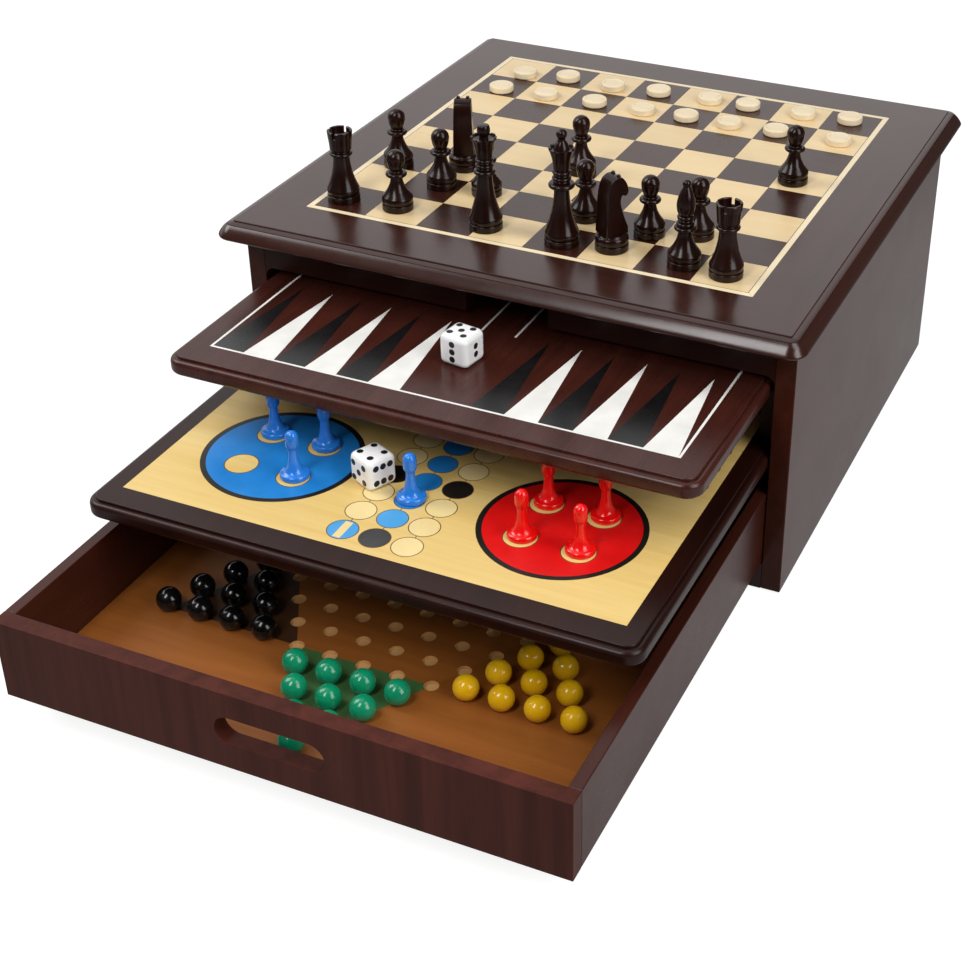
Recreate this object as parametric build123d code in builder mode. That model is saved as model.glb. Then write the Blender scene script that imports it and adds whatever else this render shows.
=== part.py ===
from build123d import *
import os
from math import atan, cos, degrees, radians, sin, sqrt

os.makedirs("parts", exist_ok=True)

# The frame: X to the right, Y to the back, Z up, all in millimetres. The origin lies on the surface
# that the box stands on, under the middle of the chess board.

# ---- carcass
cabinet_half = 147.0          # half the width over the side panels
cabinet_front = -134.0
cabinet_depth = 274.0
side_thickness = 10.0
back_thickness = 5.0
base_thickness = 14.6
edge_round = 1.0              # eased arris of the panels
running_gap = 0.3             # between a sliding piece and the batten under or over it

# ---- heights of the sliding stack, from the base up
drawer_height = 40.9
lower_batten_height = 13.3
board_thickness = 9.0         # both sliding game boards
middle_batten_height = 29.4   # clears the ludo pawns and the dice
top_batten_height = 26.4
batten_width = 10.0
batten_setback = 14.0         # from the front of the cabinet

# ---- top board and its chess inlay
top_overhang = 7.0            # past the side panels, and as much half-depth as half-width
top_place = (1.5, -1.5)       # the board's middle, from the middle of its chess field
plate_thickness = 0.8         # flat face, standing on the bead
bead_thickness = 1.6
nosing_thickness = 5.2        # broad rounded edge
plate_round = 0.4
bead_slope = (3.0, 1.1)       # the bead's sloping upper edge, across and up
nosing_round = 2.7
nosing_under_round = 2.3
nosing_shelf = 1.2            # flat step between the nosing's curve and the bead
bead_shelf = 3.7              # from the bead's edge to the plate's
top_corner = 9.0
square = 29.0
squares_a_side = 8
inlay = 0.6
veneer_joint = 0.1            # glue line between neighbouring veneers
border_gap = 0.3              # plain wood between the squares and the pale line
border_line = 2.9

# ---- rail over the slides
rail_thickness = 9.0
rail_clearance = 3.3          # over the backgammon board
rail_corner = 5.0
relief_half = 22.0            # half the width of the notch that a die passes through
relief_headroom = 1.4

# ---- how far each slide stands out from its closed place
board_proud = 12.0            # the closed boards' fronts reach this far past the cabinet, as grips
backgammon_out = 82.0
ludo_out = 150.0
drawer_out = 227.3
slide_back_gap = 0.6          # behind a closed slide

# ---- backgammon board
backgammon_side_gap = 2.3
board_corner = 9.0
board_step = 0.8              # the upper layer stands in by this much
board_step_thickness = 1.4
board_arris = 0.5
board_nose_round = 2.4
board_under_round = 2.0
backgammon_margin = 14.8      # side edge to the white outline
end_margin = 17.7             # front and back edge to the white outline
outline_width = 1.2
bar_half = 18.0               # half the plain strip between the two tables
point_length = 68.0
points_a_table = 6
mid_line_place = 9.0
mid_line_half = 55.5

# ---- ludo board
ludo_side_gap = 0.7
ludo_margin = 11.8
ludo_end_margin = 15.7
field_thickness = 1.0
home_place = 72.0             # centre of a home disc, from the middle of the field
home_radius = 38.4
home_inlay = 0.5
spot_place = 14.0             # pawn spots, from the middle of their home disc
spot_radius = 8.1

# ---- drawer
drawer_side_gap = 0.4
drawer_front_thickness = 8.2
drawer_wall = 5.9
drawer_floor_thickness = 5.1
hand_slot_length = 52.6
hand_slot_height = 14.6
hand_slot_up = 20.7           # its centre, above the drawer's lower edge

# ---- marbles and their star of dimples
marble_radius = 6.0
dimple_radius = 3.5
dimple_depth = 1.9
star_margin = 1.8             # between the outermost marbles and the drawer's end walls
seat_gap = 0.05
star_rows = [1, 2, 3, 4, 13, 12, 11, 10, 9, 10, 11, 12, 13, 4, 3, 2, 1]

# ---- loose pieces
draught_radius = 7.1
draught_thickness = 4.0
draught_round = 1.0
die_size = 16.0
die_round = 2.9
pip_ball = 2.3                # the pips are shallow dishes cut by a ball
pip_radius = 1.6
pip_pitch = 3.9
backgammon_die_place = (-4.2, 54.8, -9)   # across, from the front of its board, and turned by
ludo_die_place = (-22.5, 66.8, -25)
track_pitch = 16.1            # between the ludo spots
pawn_base = 6.9
pawn_base_rim = 1.8
pawn_neck = 2.1
pawn_neck_height = 14.9
pawn_head = 3.05
pawn_head_length = 8.6
pawn_height = 24.5
pawn_shift = (0.2, 1.3)       # where a ludo pawn stands, from the middle of its spot

# ---- what follows from them
inner_half = cabinet_half - side_thickness
cabinet_back = cabinet_front + cabinet_depth
back_inside = cabinet_back - back_thickness
drawer_bottom = base_thickness + running_gap
drawer_top = drawer_bottom + drawer_height
lower_batten_bottom = drawer_top + running_gap
ludo_bottom = lower_batten_bottom + lower_batten_height + running_gap
ludo_top = ludo_bottom + board_thickness
middle_batten_bottom = ludo_top + running_gap
backgammon_bottom = middle_batten_bottom + middle_batten_height + running_gap
backgammon_top = backgammon_bottom + board_thickness
top_batten_bottom = backgammon_top + running_gap
cabinet_height = top_batten_bottom + top_batten_height
table_top = cabinet_height + nosing_thickness + bead_thickness + plate_thickness
top_half = cabinet_half + top_overhang
bead_half = top_half - nosing_round - nosing_shelf
plate_half = bead_half - bead_shelf
field_half = square * squares_a_side / 2
line_inside = field_half + border_gap
line_outside = line_inside + border_line
board_front_closed = cabinet_front - board_proud
board_depth = back_inside - slide_back_gap - board_front_closed
backgammon_half = inner_half - backgammon_side_gap
backgammon_front = board_front_closed - backgammon_out
backgammon_middle = backgammon_front + board_depth / 2
outline_half = backgammon_half - backgammon_margin
outline_reach = board_depth / 2 - end_margin
ludo_half = inner_half - ludo_side_gap
ludo_front = board_front_closed - ludo_out
ludo_middle = ludo_front + board_depth / 2
ludo_field_half = ludo_half - ludo_margin
ludo_field_reach = board_depth / 2 - ludo_end_margin
drawer_half = inner_half - drawer_side_gap
drawer_front_face = cabinet_front - drawer_out
drawer_depth = back_inside - slide_back_gap - cabinet_front
drawer_inside_front = drawer_front_face + drawer_front_thickness
drawer_inside_back = drawer_front_face + drawer_depth - drawer_wall
drawer_floor_top = drawer_bottom + drawer_floor_thickness
star_middle = (drawer_inside_front + drawer_inside_back) / 2
star_reach = (drawer_inside_back - drawer_inside_front) / 2 - star_margin - marble_radius
row_pitch = 2 * star_reach / (len(star_rows) - 1)
star_pitch = row_pitch * 2 / sqrt(3)
marble_height = drawer_floor_top + sqrt(marble_radius**2 - dimple_radius**2) + seat_gap


# ---- carcass panels
def slab(x0, x1, y0, y1, z0, z1):
    """A rectangular board between the given limits, made inside the open part."""
    with Locations(((x0 + x1) / 2, (y0 + y1) / 2, z0)):
        Box(abs(x1 - x0), y1 - y0, z1 - z0, align=(Align.CENTER, Align.CENTER, Align.MIN))


for name, side in (("side_left", -1), ("side_right", 1)):
    with BuildPart() as panel:
        slab(side * inner_half, side * cabinet_half, cabinet_front, cabinet_back, 0, cabinet_height)
        outer = panel.faces().sort_by(Axis.X)[0 if side < 0 else -1]
        fillet(outer.edges().filter_by(Axis.Z), edge_round)
    panel.part.label = name
    export_step(panel.part, f"parts/{name}.step")

with BuildPart() as base_panel:
    slab(-inner_half, inner_half, cabinet_front, back_inside, 0, base_thickness)
base_panel.part.label = "base_panel"
export_step(base_panel.part, "parts/base_panel.step")

with BuildPart() as back_panel:
    slab(-inner_half, inner_half, back_inside, cabinet_back, 0, cabinet_height)
back_panel.part.label = "back_panel"
export_step(back_panel.part, "parts/back_panel.step")

# The rail closes the front under the top. Its lower corners round into the sides, and a notch in the
# middle lets a die ride in with the closing board.
rail_bottom = backgammon_top + rail_clearance
relief_top = backgammon_top + die_size + relief_headroom
opening_height = 4 * rail_corner
with BuildPart() as front_rail:
    with BuildSketch(Plane.XZ.offset(-cabinet_front)):
        with Locations((0, (rail_bottom - rail_corner + cabinet_height) / 2)):
            Rectangle(2 * inner_half, cabinet_height - rail_bottom + rail_corner)
        with Locations((0, rail_bottom - opening_height / 2)):
            RectangleRounded(2 * inner_half, opening_height, rail_corner, mode=Mode.SUBTRACT)
        with Locations((0, relief_top - opening_height)):
            RectangleRounded(2 * relief_half, 2 * opening_height, rail_corner, mode=Mode.SUBTRACT)
    extrude(amount=-rail_thickness)
front_rail.part.label = "front_rail"
export_step(front_rail.part, "parts/front_rail.step")

# Battens glued to the sides: each one carries the slide above it and holds down the one below.
batten_levels = {
    "batten_lower": (lower_batten_bottom, lower_batten_height),
    "batten_middle": (middle_batten_bottom, middle_batten_height),
    "batten_top": (top_batten_bottom, top_batten_height),
}
for level, (bottom, height) in batten_levels.items():
    for hand, side in (("left", -1), ("right", 1)):
        with BuildPart() as batten:
            slab(side * inner_half, side * (inner_half - batten_width), cabinet_front + batten_setback,
                 back_inside, bottom, bottom + height)
        batten.part.label = f"{level}_{hand}"
        export_step(batten.part, f"parts/{level}_{hand}.step")

# ---- top board: nosing, bead and plate are one moulded piece, let in for the veneers
with BuildPart() as top_board:
    with BuildSketch(Plane.XY.offset(cabinet_height)):
        with Locations(top_place):
            RectangleRounded(2 * top_half, 2 * top_half, top_corner)
    extrude(amount=nosing_thickness)
    fillet(top_board.edges().group_by(Axis.Z)[-1], nosing_round)
    fillet(top_board.edges().group_by(Axis.Z)[0], nosing_under_round)
    with BuildSketch(Plane.XY.offset(cabinet_height + nosing_thickness)):
        with Locations(top_place):
            RectangleRounded(2 * bead_half, 2 * bead_half, top_corner - nosing_round - nosing_shelf)
    extrude(amount=bead_thickness - bead_slope[1])
    with BuildSketch(Plane.XY.offset(cabinet_height + nosing_thickness + bead_thickness - bead_slope[1])):
        with Locations(top_place):
            RectangleRounded(2 * bead_half, 2 * bead_half, top_corner - nosing_round - nosing_shelf)
    extrude(amount=bead_slope[1], taper=degrees(atan(bead_slope[0] / bead_slope[1])))
    with BuildSketch(Plane.XY.offset(table_top - plate_thickness)):
        with Locations(top_place):
            RectangleRounded(2 * plate_half, 2 * plate_half, edge_round)
    extrude(amount=plate_thickness)
    fillet(top_board.edges().group_by(Axis.Z)[-1], plate_round)
    with BuildSketch(Plane.XY.offset(table_top - inlay)):
        Rectangle(2 * line_outside, 2 * line_outside)
        Rectangle(2 * line_inside, 2 * line_inside, mode=Mode.SUBTRACT)
        Rectangle(2 * field_half, 2 * field_half)
    extrude(amount=inlay, mode=Mode.SUBTRACT)
top_board.part.label = "top_board"
export_step(top_board.part, "parts/top_board.step")

for name, shade in (("squares_dark", 0), ("squares_light", 1)):
    centres = [
        ((column + 0.5) * square - field_half, (row + 0.5) * square - field_half)
        for column in range(squares_a_side)
        for row in range(squares_a_side)
        if (column + row) % 2 == shade
    ]
    with BuildPart() as veneers:
        with BuildSketch(Plane.XY.offset(table_top - inlay)):
            with Locations(*centres):
                Rectangle(square - veneer_joint, square - veneer_joint)
        extrude(amount=inlay)
    veneers.part.label = name
    export_step(veneers.part, f"parts/{name}.step")

with BuildPart() as border:
    with BuildSketch(Plane.XY.offset(table_top - inlay)):
        Rectangle(2 * line_outside, 2 * line_outside)
        Rectangle(2 * line_inside, 2 * line_inside, mode=Mode.SUBTRACT)
    extrude(amount=inlay)
border.part.label = "chess_border"
export_step(border.part, "parts/chess_border.step")


# ---- sliding boards
def nosed_board(half, front, bottom):
    """A board with a rounded edge and a thin plate stepped in on top of it."""
    middle = front + board_depth / 2
    inset = board_nose_round + board_step
    with BuildPart() as board:
        with BuildSketch(Plane.XY.offset(bottom)):
            with Locations((0, middle)):
                RectangleRounded(2 * half, board_depth, board_corner)
        extrude(amount=board_thickness - board_step_thickness)
        fillet(board.edges().group_by(Axis.Z)[-1], board_nose_round)
        fillet(board.edges().group_by(Axis.Z)[0], board_under_round)
        with BuildSketch(Plane.XY.offset(bottom + board_thickness - board_step_thickness)):
            with Locations((0, middle)):
                RectangleRounded(2 * (half - inset), board_depth - 2 * inset, board_corner - inset)
        extrude(amount=board_step_thickness)
        fillet(board.edges().group_by(Axis.Z)[-1], board_arris)
    return board


# Backgammon: two tables of six points along each end, a plain bar between them, and two lines down
# the middle of it. The points alternate, and each one faces a point of the other shade.
table_inside = outline_half - outline_width
end_line = outline_reach - outline_width
point_pitch = (table_inside - bar_half) / points_a_table


def point_triangles(shade):
    """The corners of every point of one shade, as seen from above."""
    triangles = []
    for end in (-1, 1):
        base = backgammon_middle + end * end_line
        tip = base - end * point_length
        for table in (-1, 1):
            table_left = -table_inside if table < 0 else bar_half
            for k in range(points_a_table):
                if (k + (end > 0)) % 2 == shade:
                    left = table_left + k * point_pitch + veneer_joint / 2
                    right = table_left + (k + 1) * point_pitch - veneer_joint / 2
                    triangles.append([(left, base), (right, base), ((left + right) / 2, tip)])
    return triangles


def draw_points(shade):
    for corners in point_triangles(shade):
        Polygon(*corners, align=None)


def draw_outline():
    with Locations((0, backgammon_middle)):
        Rectangle(2 * outline_half, 2 * outline_reach)
        Rectangle(2 * table_inside, 2 * end_line, mode=Mode.SUBTRACT)
    with Locations((-mid_line_place, backgammon_middle), (mid_line_place, backgammon_middle)):
        Rectangle(outline_width, 2 * mid_line_half)


backgammon_blank = nosed_board(backgammon_half, backgammon_front, backgammon_bottom)
with BuildPart() as backgammon_board:
    add(backgammon_blank.part)
    with BuildSketch(Plane.XY.offset(backgammon_top - inlay)):
        draw_outline()
        draw_points(0)
        draw_points(1)
    extrude(amount=inlay, mode=Mode.SUBTRACT)
backgammon_board.part.label = "backgammon_board"
export_step(backgammon_board.part, "parts/backgammon_board.step")

with BuildPart() as backgammon_lines:
    with BuildSketch(Plane.XY.offset(backgammon_top - inlay)):
        draw_outline()
    extrude(amount=inlay)
backgammon_lines.part.label = "backgammon_lines"
export_step(backgammon_lines.part, "parts/backgammon_lines.step")

for name, shade in (("points_dark", 0), ("points_white", 1)):
    with BuildPart() as points:
        with BuildSketch(Plane.XY.offset(backgammon_top - inlay)):
            draw_points(shade)
        extrude(amount=inlay)
    points.part.label = name
    export_step(points.part, f"parts/{name}.step")

# Ludo: a frame board with the pale field let in, and four home discs let into the field.
homes = {
    "blue": (-1, -1),
    "red": (1, -1),
    "green": (-1, 1),
    "yellow": (1, 1),
}


def home_centre(colour):
    across, along = homes[colour]
    return across * home_place, ludo_middle + along * home_place


def home_spots(colour):
    x, y = home_centre(colour)
    return [(x + i * spot_place, y + j * spot_place) for i in (-1, 1) for j in (-1, 1)]


ludo_blank = nosed_board(ludo_half, ludo_front, ludo_bottom)
with BuildPart() as ludo_board:
    add(ludo_blank.part)
    with BuildSketch(Plane.XY.offset(ludo_top - field_thickness)):
        with Locations((0, ludo_middle)):
            Rectangle(2 * ludo_field_half, 2 * ludo_field_reach)
    extrude(amount=field_thickness, mode=Mode.SUBTRACT)
ludo_board.part.label = "ludo_board"
export_step(ludo_board.part, "parts/ludo_board.step")


def draw_home(colour):
    with Locations(home_centre(colour)):
        Circle(home_radius)
    with Locations(*home_spots(colour)):
        Circle(spot_radius, mode=Mode.SUBTRACT)


with BuildPart() as ludo_field:
    with BuildSketch(Plane.XY.offset(ludo_top - field_thickness)):
        with Locations((0, ludo_middle)):
            Rectangle(2 * ludo_field_half, 2 * ludo_field_reach)
    extrude(amount=field_thickness)
    for colour in homes:
        with BuildSketch(Plane.XY.offset(ludo_top - home_inlay)):
            draw_home(colour)
        extrude(amount=home_inlay, mode=Mode.SUBTRACT)
ludo_field.part.label = "ludo_field"
export_step(ludo_field.part, "parts/ludo_field.step")

for colour in homes:
    with BuildPart() as home:
        with BuildSketch(Plane.XY.offset(ludo_top - home_inlay)):
            draw_home(colour)
        extrude(amount=home_inlay)
    home.part.label = f"ludo_home_{colour}"
    export_step(home.part, f"parts/ludo_home_{colour}.step")

# ---- drawer
with BuildPart() as drawer_front:
    slab(-drawer_half, drawer_half, drawer_front_face, drawer_inside_front, drawer_bottom, drawer_top)
    fillet(drawer_front.faces().sort_by(Axis.Y)[0].edges().filter_by(Axis.Z), edge_round)
    with BuildSketch(Plane.XZ.offset(-drawer_front_face)):
        with Locations((0, drawer_bottom + hand_slot_up)):
            SlotOverall(hand_slot_length, hand_slot_height)
    extrude(amount=-drawer_front_thickness, mode=Mode.SUBTRACT)
drawer_front.part.label = "drawer_front"
export_step(drawer_front.part, "parts/drawer_front.step")

for name, side in (("drawer_side_left", -1), ("drawer_side_right", 1)):
    with BuildPart() as wall:
        slab(side * drawer_half, side * (drawer_half - drawer_wall), drawer_inside_front,
             drawer_inside_back + drawer_wall, drawer_bottom, drawer_top)
    wall.part.label = name
    export_step(wall.part, f"parts/{name}.step")

floor_half = drawer_half - drawer_wall
with BuildPart() as drawer_back:
    slab(-floor_half, floor_half, drawer_inside_back, drawer_inside_back + drawer_wall,
         drawer_bottom, drawer_top)
drawer_back.part.label = "drawer_back"
export_step(drawer_back.part, "parts/drawer_back.step")


def star_point(row, k):
    """The place of dimple k in one row of the star, rows counted from the front tip."""
    x = (k - (star_rows[row] - 1) / 2) * star_pitch
    return x, star_middle - star_reach + row * row_pitch


star = [star_point(row, k) for row, count in enumerate(star_rows) for k in range(count)]
with BuildPart() as drawer_floor:
    slab(-floor_half, floor_half, drawer_inside_front, drawer_inside_back, drawer_bottom, drawer_floor_top)
    with BuildSketch(Plane.XY.offset(drawer_floor_top)):
        with Locations(*star):
            Circle(dimple_radius)
    extrude(amount=-dimple_depth, mode=Mode.SUBTRACT)
drawer_floor.part.label = "drawer_floor"
export_step(drawer_floor.part, "parts/drawer_floor.step")

# Ten marbles of each colour fill the six corners of the star. Side corners take four dimples from
# the end of the widest row, then three, two and one.
side_rows = {"front": (4, 5, 6, 7), "back": (12, 11, 10, 9)}


def side_corner(rows, from_left):
    places = []
    for fewer, row in enumerate(rows):
        for k in range(4 - fewer):
            places.append(star_point(row, k if from_left else star_rows[row] - 1 - k))
    return places


last_row = len(star_rows) - 1
marble_homes = {
    "green": [star_point(row, k) for row in range(4) for k in range(row + 1)],
    "black": side_corner(side_rows["front"], True),
    "yellow": side_corner(side_rows["front"], False),
    "red": [star_point(last_row - row, k) for row in range(4) for k in range(row + 1)],
    "white": side_corner(side_rows["back"], True),
    "blue": side_corner(side_rows["back"], False),
}
for colour, places in marble_homes.items():
    with BuildPart() as marbles:
        with Locations(*[(x, y, marble_height) for x, y in places]):
            Sphere(marble_radius)
    marbles.part.label = f"marbles_{colour}"
    export_step(marbles.part, f"parts/marbles_{colour}.step")


# ---- dice
pip_layouts = {
    1: [(0, 0)],
    2: [(0, -0.5), (0, 0.5)],
    3: [(0, -1), (0, 0), (0, 1)],
    4: [(-1, -1), (-1, 1), (1, -1), (1, 1)],
    5: [(-1, -1), (-1, 1), (0, 0), (1, -1), (1, 1)],
    6: [(-1, -1), (0, -1), (1, -1), (-1, 1), (0, 1), (1, 1)],
}


def make_die(place, board_front, z, faces):
    """A die standing at its place on a board. faces gives the pips on its front, right, back, left,
    top and bottom."""
    x, y, turn = place[0], board_front + place[1], place[2]
    middle = Vector(x, y, z + die_size / 2)
    right = Vector(cos(radians(turn)), sin(radians(turn)), 0)
    back = Vector(-sin(radians(turn)), cos(radians(turn)), 0)
    up = Vector(0, 0, 1)
    sides = [(-back, right), (right, back), (back, -right), (-right, -back), (up, right), (-up, right)]
    lift = die_size / 2 + sqrt(pip_ball**2 - pip_radius**2)
    with BuildPart(Plane(origin=middle, x_dir=right, z_dir=up)) as die:
        Box(die_size, die_size, die_size)
        fillet(die.edges(), die_round)
    with BuildPart() as pipped:
        add(die.part)
        for (outward, along), count in zip(sides, faces):
            face = Plane(origin=middle + outward * lift, x_dir=along, z_dir=outward)
            with Locations(*[face * Location((i * pip_pitch, j * pip_pitch, 0))
                             for i, j in pip_layouts[count]]):
                Sphere(pip_ball, mode=Mode.SUBTRACT)
    return pipped


backgammon_die = make_die(backgammon_die_place, backgammon_front, backgammon_top, (3, 2, 4, 6, 5, 1))
backgammon_die.part.label = "backgammon_die"
export_step(backgammon_die.part, "parts/backgammon_die.step")

ludo_die = make_die(ludo_die_place, ludo_front, ludo_top, (5, 6, 2, 1, 4, 3))
ludo_die.part.label = "ludo_die"
export_step(ludo_die.part, "parts/ludo_die.step")

# ---- ludo pawns: flared foot, thin neck and a barrel head on a small collar
pawn_collar = pawn_head - 0.6
head_bottom = pawn_height - pawn_head_length
flare_height, flare_radius = 5.2, pawn_neck + 1.5
with BuildPart() as ludo_pawn:
    with BuildSketch(Plane.XZ):
        with BuildLine():
            Polyline((0, 0), (pawn_base, 0), (pawn_base, pawn_base_rim))
            TangentArc((pawn_base, pawn_base_rim), (flare_radius, flare_height), tangent=(-0.4, 1))
            ThreePointArc((flare_radius, flare_height), (pawn_neck + 0.4, 9.2),
                          (pawn_neck, pawn_neck_height))
            Polyline((pawn_neck, pawn_neck_height), (pawn_collar, pawn_neck_height + 0.6),
                     (pawn_collar, head_bottom), (pawn_head, head_bottom + 0.8),
                     (pawn_head, pawn_height - pawn_head))
            ThreePointArc((pawn_head, pawn_height - pawn_head),
                          (pawn_head * sin(radians(45)), pawn_height - pawn_head * (1 - cos(radians(45)))),
                          (0, pawn_height))
            Line((0, pawn_height), (0, 0))
        make_face()
    revolve(axis=Axis.Z)

track_spot = (0, ludo_middle - 5 * track_pitch)      # in the middle file, third row from the front
pawn_places = {colour: home_spots(colour) for colour in homes}
pawn_places["blue"] = home_spots("blue")[1:] + [track_spot]
for colour, places in pawn_places.items():
    with BuildPart() as pawns:
        with Locations(*[(x + pawn_shift[0], y + pawn_shift[1], ludo_top) for x, y in places]):
            add(ludo_pawn.part)
    pawns.part.label = f"ludo_pawns_{colour}"
    export_step(pawns.part, f"parts/ludo_pawns_{colour}.step")

# ---- draughts, one on each square of the two back rows, each placed in squares from the front left
# corner of the field
draught_places = [
    (0.57, 6.27), (1.54, 6.31), (2.58, 6.35), (3.61, 6.36), (4.50, 6.41), (5.39, 6.41), (6.33, 6.43),
    (7.56, 6.48),
    (0.66, 7.20), (1.55, 7.38), (2.58, 7.29), (3.53, 7.41), (4.62, 7.44), (5.41, 7.46), (6.55, 7.47),
    (7.46, 7.59),
]
with BuildPart() as draughts:
    with Locations(*[(c * square - field_half, r * square - field_half, table_top)
                     for c, r in draught_places]):
        Cylinder(draught_radius, draught_thickness, align=(Align.CENTER, Align.CENTER, Align.MIN))
    fillet(draughts.edges(), draught_round)
draughts.part.label = "draughts"
export_step(draughts.part, "parts/draughts.step")

# ---- chess men. Where each one stands, in squares again.
standing = {
    "king": [(4.54, 0.43)],
    "queen": [(3.12, 0.43)],
    "bishop": [(6.71, 0.50)],
    "knight": [(1.64, 2.54), (5.39, 0.57)],
    "rook": [(0.33, 0.44), (7.47, 0.42)],
    "pawn": [(1.38, 0.49), (0.49, 2.14), (1.64, 1.64), (2.52, 1.67), (4.52, 1.47), (3.66, 3.24),
             (5.77, 1.32), (6.55, 1.60), (7.32, 4.41)],
}

# Every man is turned with the same foot: a drum, a groove and a swelling, then a hollow flare up to
# the neck. rings are the collars over it, each a radius and a height.
men = {
    "king": {"foot": 8.6, "flare_top": 29.6, "neck": 3.7,
             "rings": [(6.5, 2.5), (4.1, 1.4), (4.7, 1.8), (4.0, 1.3), (4.6, 1.8)]},
    "queen": {"foot": 8.4, "flare_top": 29.0, "neck": 3.8,
              "rings": [(5.4, 2.4), (4.1, 1.3), (4.6, 1.7), (4.0, 1.1), (4.5, 1.7)]},
    "bishop": {"foot": 8.2, "flare_top": 18.6, "neck": 3.2,
               "rings": [(5.4, 2.2), (4.4, 2.0), (3.7, 1.5), (4.1, 1.9)]},
    "rook": {"foot": 8.3, "flare_top": 24.4, "neck": 4.2, "rings": [(5.8, 1.9), (4.9, 0.8)]},
    "pawn": {"foot": 7.9, "flare_top": 17.9, "neck": 2.9, "rings": [(5.4, 2.3), (3.6, 0.8)]},
    "knight": {"foot": 8.3, "flare_top": 9.0, "neck": 6.6, "rings": []},
}
foot_drum = 3.6
foot_groove = 0.5
foot_swell = 3.4
shoulder_share = 0.94         # of the foot's radius, where the flare starts
flare_bend = (0.26, 0.48)     # the flare's middle, as shares of its narrowing and of its height
pawn_egg, pawn_egg_height = 4.65, 10.8
mitre_waist, mitre_bulge, mitre_height, mitre_ball = 1.7, 4.5, 14.6, 2.1
rook_rim, rook_foot, rook_height, rook_cup, rook_cup_radius = 6.4, 5.6, 10.6, 4.2, 4.9
battlement_slot, battlement_deep = 1.7, 3.4
crown_rim, crown_foot = 6.4, 4.0
king_crown, king_lip, finial_neck, finial_ball = 11.4, 1.2, 1.9, 2.7
queen_crown, queen_lip, knob_neck, knob_radius, knob_height = 11.0, 1.0, 2.1, 3.2, 6.4
coronet_points, coronet_cut, coronet_ring = 8, 1.35, 7.1
knight_thickness, knight_chamfer = 10.2, 2.0
ear_gap, ear_height = 3.0, 2.6
knight_turns = (112, 55)      # the way each knight faces, from the X axis


def draw_stem(man):
    """Draws half the outline of a turned man from the axis up to its neck, and gives the end."""
    foot, neck, flare_top = man["foot"], man["neck"], man["flare_top"]
    swell_bottom = foot_drum + foot_groove
    swell_top = swell_bottom + foot_swell
    shoulder = foot * shoulder_share
    Polyline((0, 0), (foot, 0), (foot, foot_drum), (foot - foot_groove, foot_drum),
             (foot - foot_groove, swell_bottom), (foot - foot_groove / 2, swell_bottom))
    ThreePointArc((foot - foot_groove / 2, swell_bottom),
                  (foot - foot_groove / 4, swell_bottom + foot_swell * 0.5), (shoulder, swell_top))
    inward, upward = flare_bend
    ThreePointArc((shoulder, swell_top),
                  (shoulder - (1 - inward) * (shoulder - neck), swell_top + upward * (flare_top - swell_top)),
                  (neck, flare_top))
    point = (neck, flare_top)
    for radius, thick in man["rings"]:
        bottom, top = point[1], point[1] + thick
        flat = radius - thick / 2
        Line(point, (flat, bottom))
        ThreePointArc((flat, bottom), (radius, bottom + thick / 2), (flat, top))
        point = (flat, top)
    if man["rings"]:
        Line(point, (neck, point[1]))
    return neck, point[1]


def turned(man, draw_head):
    """A whole turned man on the axis: its stem and what draw_head adds from the neck to the top."""
    with BuildPart() as blank:
        with BuildSketch(Plane.XZ):
            with BuildLine():
                neck_end = draw_stem(man)
                crown = draw_head(*neck_end)
                Line((0, crown), (0, 0))
            make_face()
        revolve(axis=Axis.Z)
    return blank


def draw_ball(r, z, ball):
    """A ball centred on the axis, from where it meets a neck of radius r round to its top."""
    middle = z + sqrt(ball**2 - r**2)
    ThreePointArc((r, z), (ball, middle), (0, middle + ball))
    return middle + ball


def pawn_head_outline(r, z):
    top = z + pawn_egg_height
    ThreePointArc((r, z), (0.91 * pawn_egg, z + 0.26 * pawn_egg_height), (pawn_egg, top - pawn_egg))
    ThreePointArc((pawn_egg, top - pawn_egg), (pawn_egg * sqrt(0.5), top - pawn_egg * (1 - sqrt(0.5))), (0, top))
    return top


def bishop_head_outline(r, z):
    ThreePointArc((r, z), (mitre_bulge, z + 0.4 * mitre_height), (mitre_waist, z + mitre_height))
    return draw_ball(mitre_waist, z + mitre_height, mitre_ball)


def rook_head_outline(r, z):
    rim, cup_floor = z + rook_height, z + rook_height - rook_cup
    Polyline((r, z), (rook_foot, z + 0.8), (rook_rim, rim), (rook_cup_radius, rim),
             (rook_cup_radius - 0.2, cup_floor), (0, cup_floor))
    return cup_floor


def draw_crown(r, z, height, lip):
    """A crown that flares up from radius r, and where its lip ends on the inside."""
    Line((r, z), (crown_foot, z + 0.6))
    ThreePointArc((crown_foot, z + 0.6), (crown_foot + 0.3, z + height * 0.5), (crown_rim, z + height))
    inner, level = crown_rim - lip, z + height - 0.3
    Line((crown_rim, z + height), (inner, level))
    return inner, level


def king_head_outline(r, z):
    inner, level = draw_crown(r, z, king_crown, king_lip)
    ThreePointArc((inner, level), (inner * 0.68, level + 2.0), (finial_neck, level + 4.2))
    Line((finial_neck, level + 4.2), (finial_neck, level + 5.2))
    return draw_ball(finial_neck, level + 5.2, finial_ball)


def queen_head_outline(r, z):
    inner, level = draw_crown(r, z, queen_crown, queen_lip)
    crown = level + knob_height
    Polyline((inner, level), (knob_neck + 0.3, level - 0.9), (knob_neck, level + 0.6))
    ThreePointArc((knob_neck, level + 0.6), (knob_radius, level + 3.2), (knob_radius * 0.8, crown))
    Line((knob_radius * 0.8, crown), (0, crown))
    return crown


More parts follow.
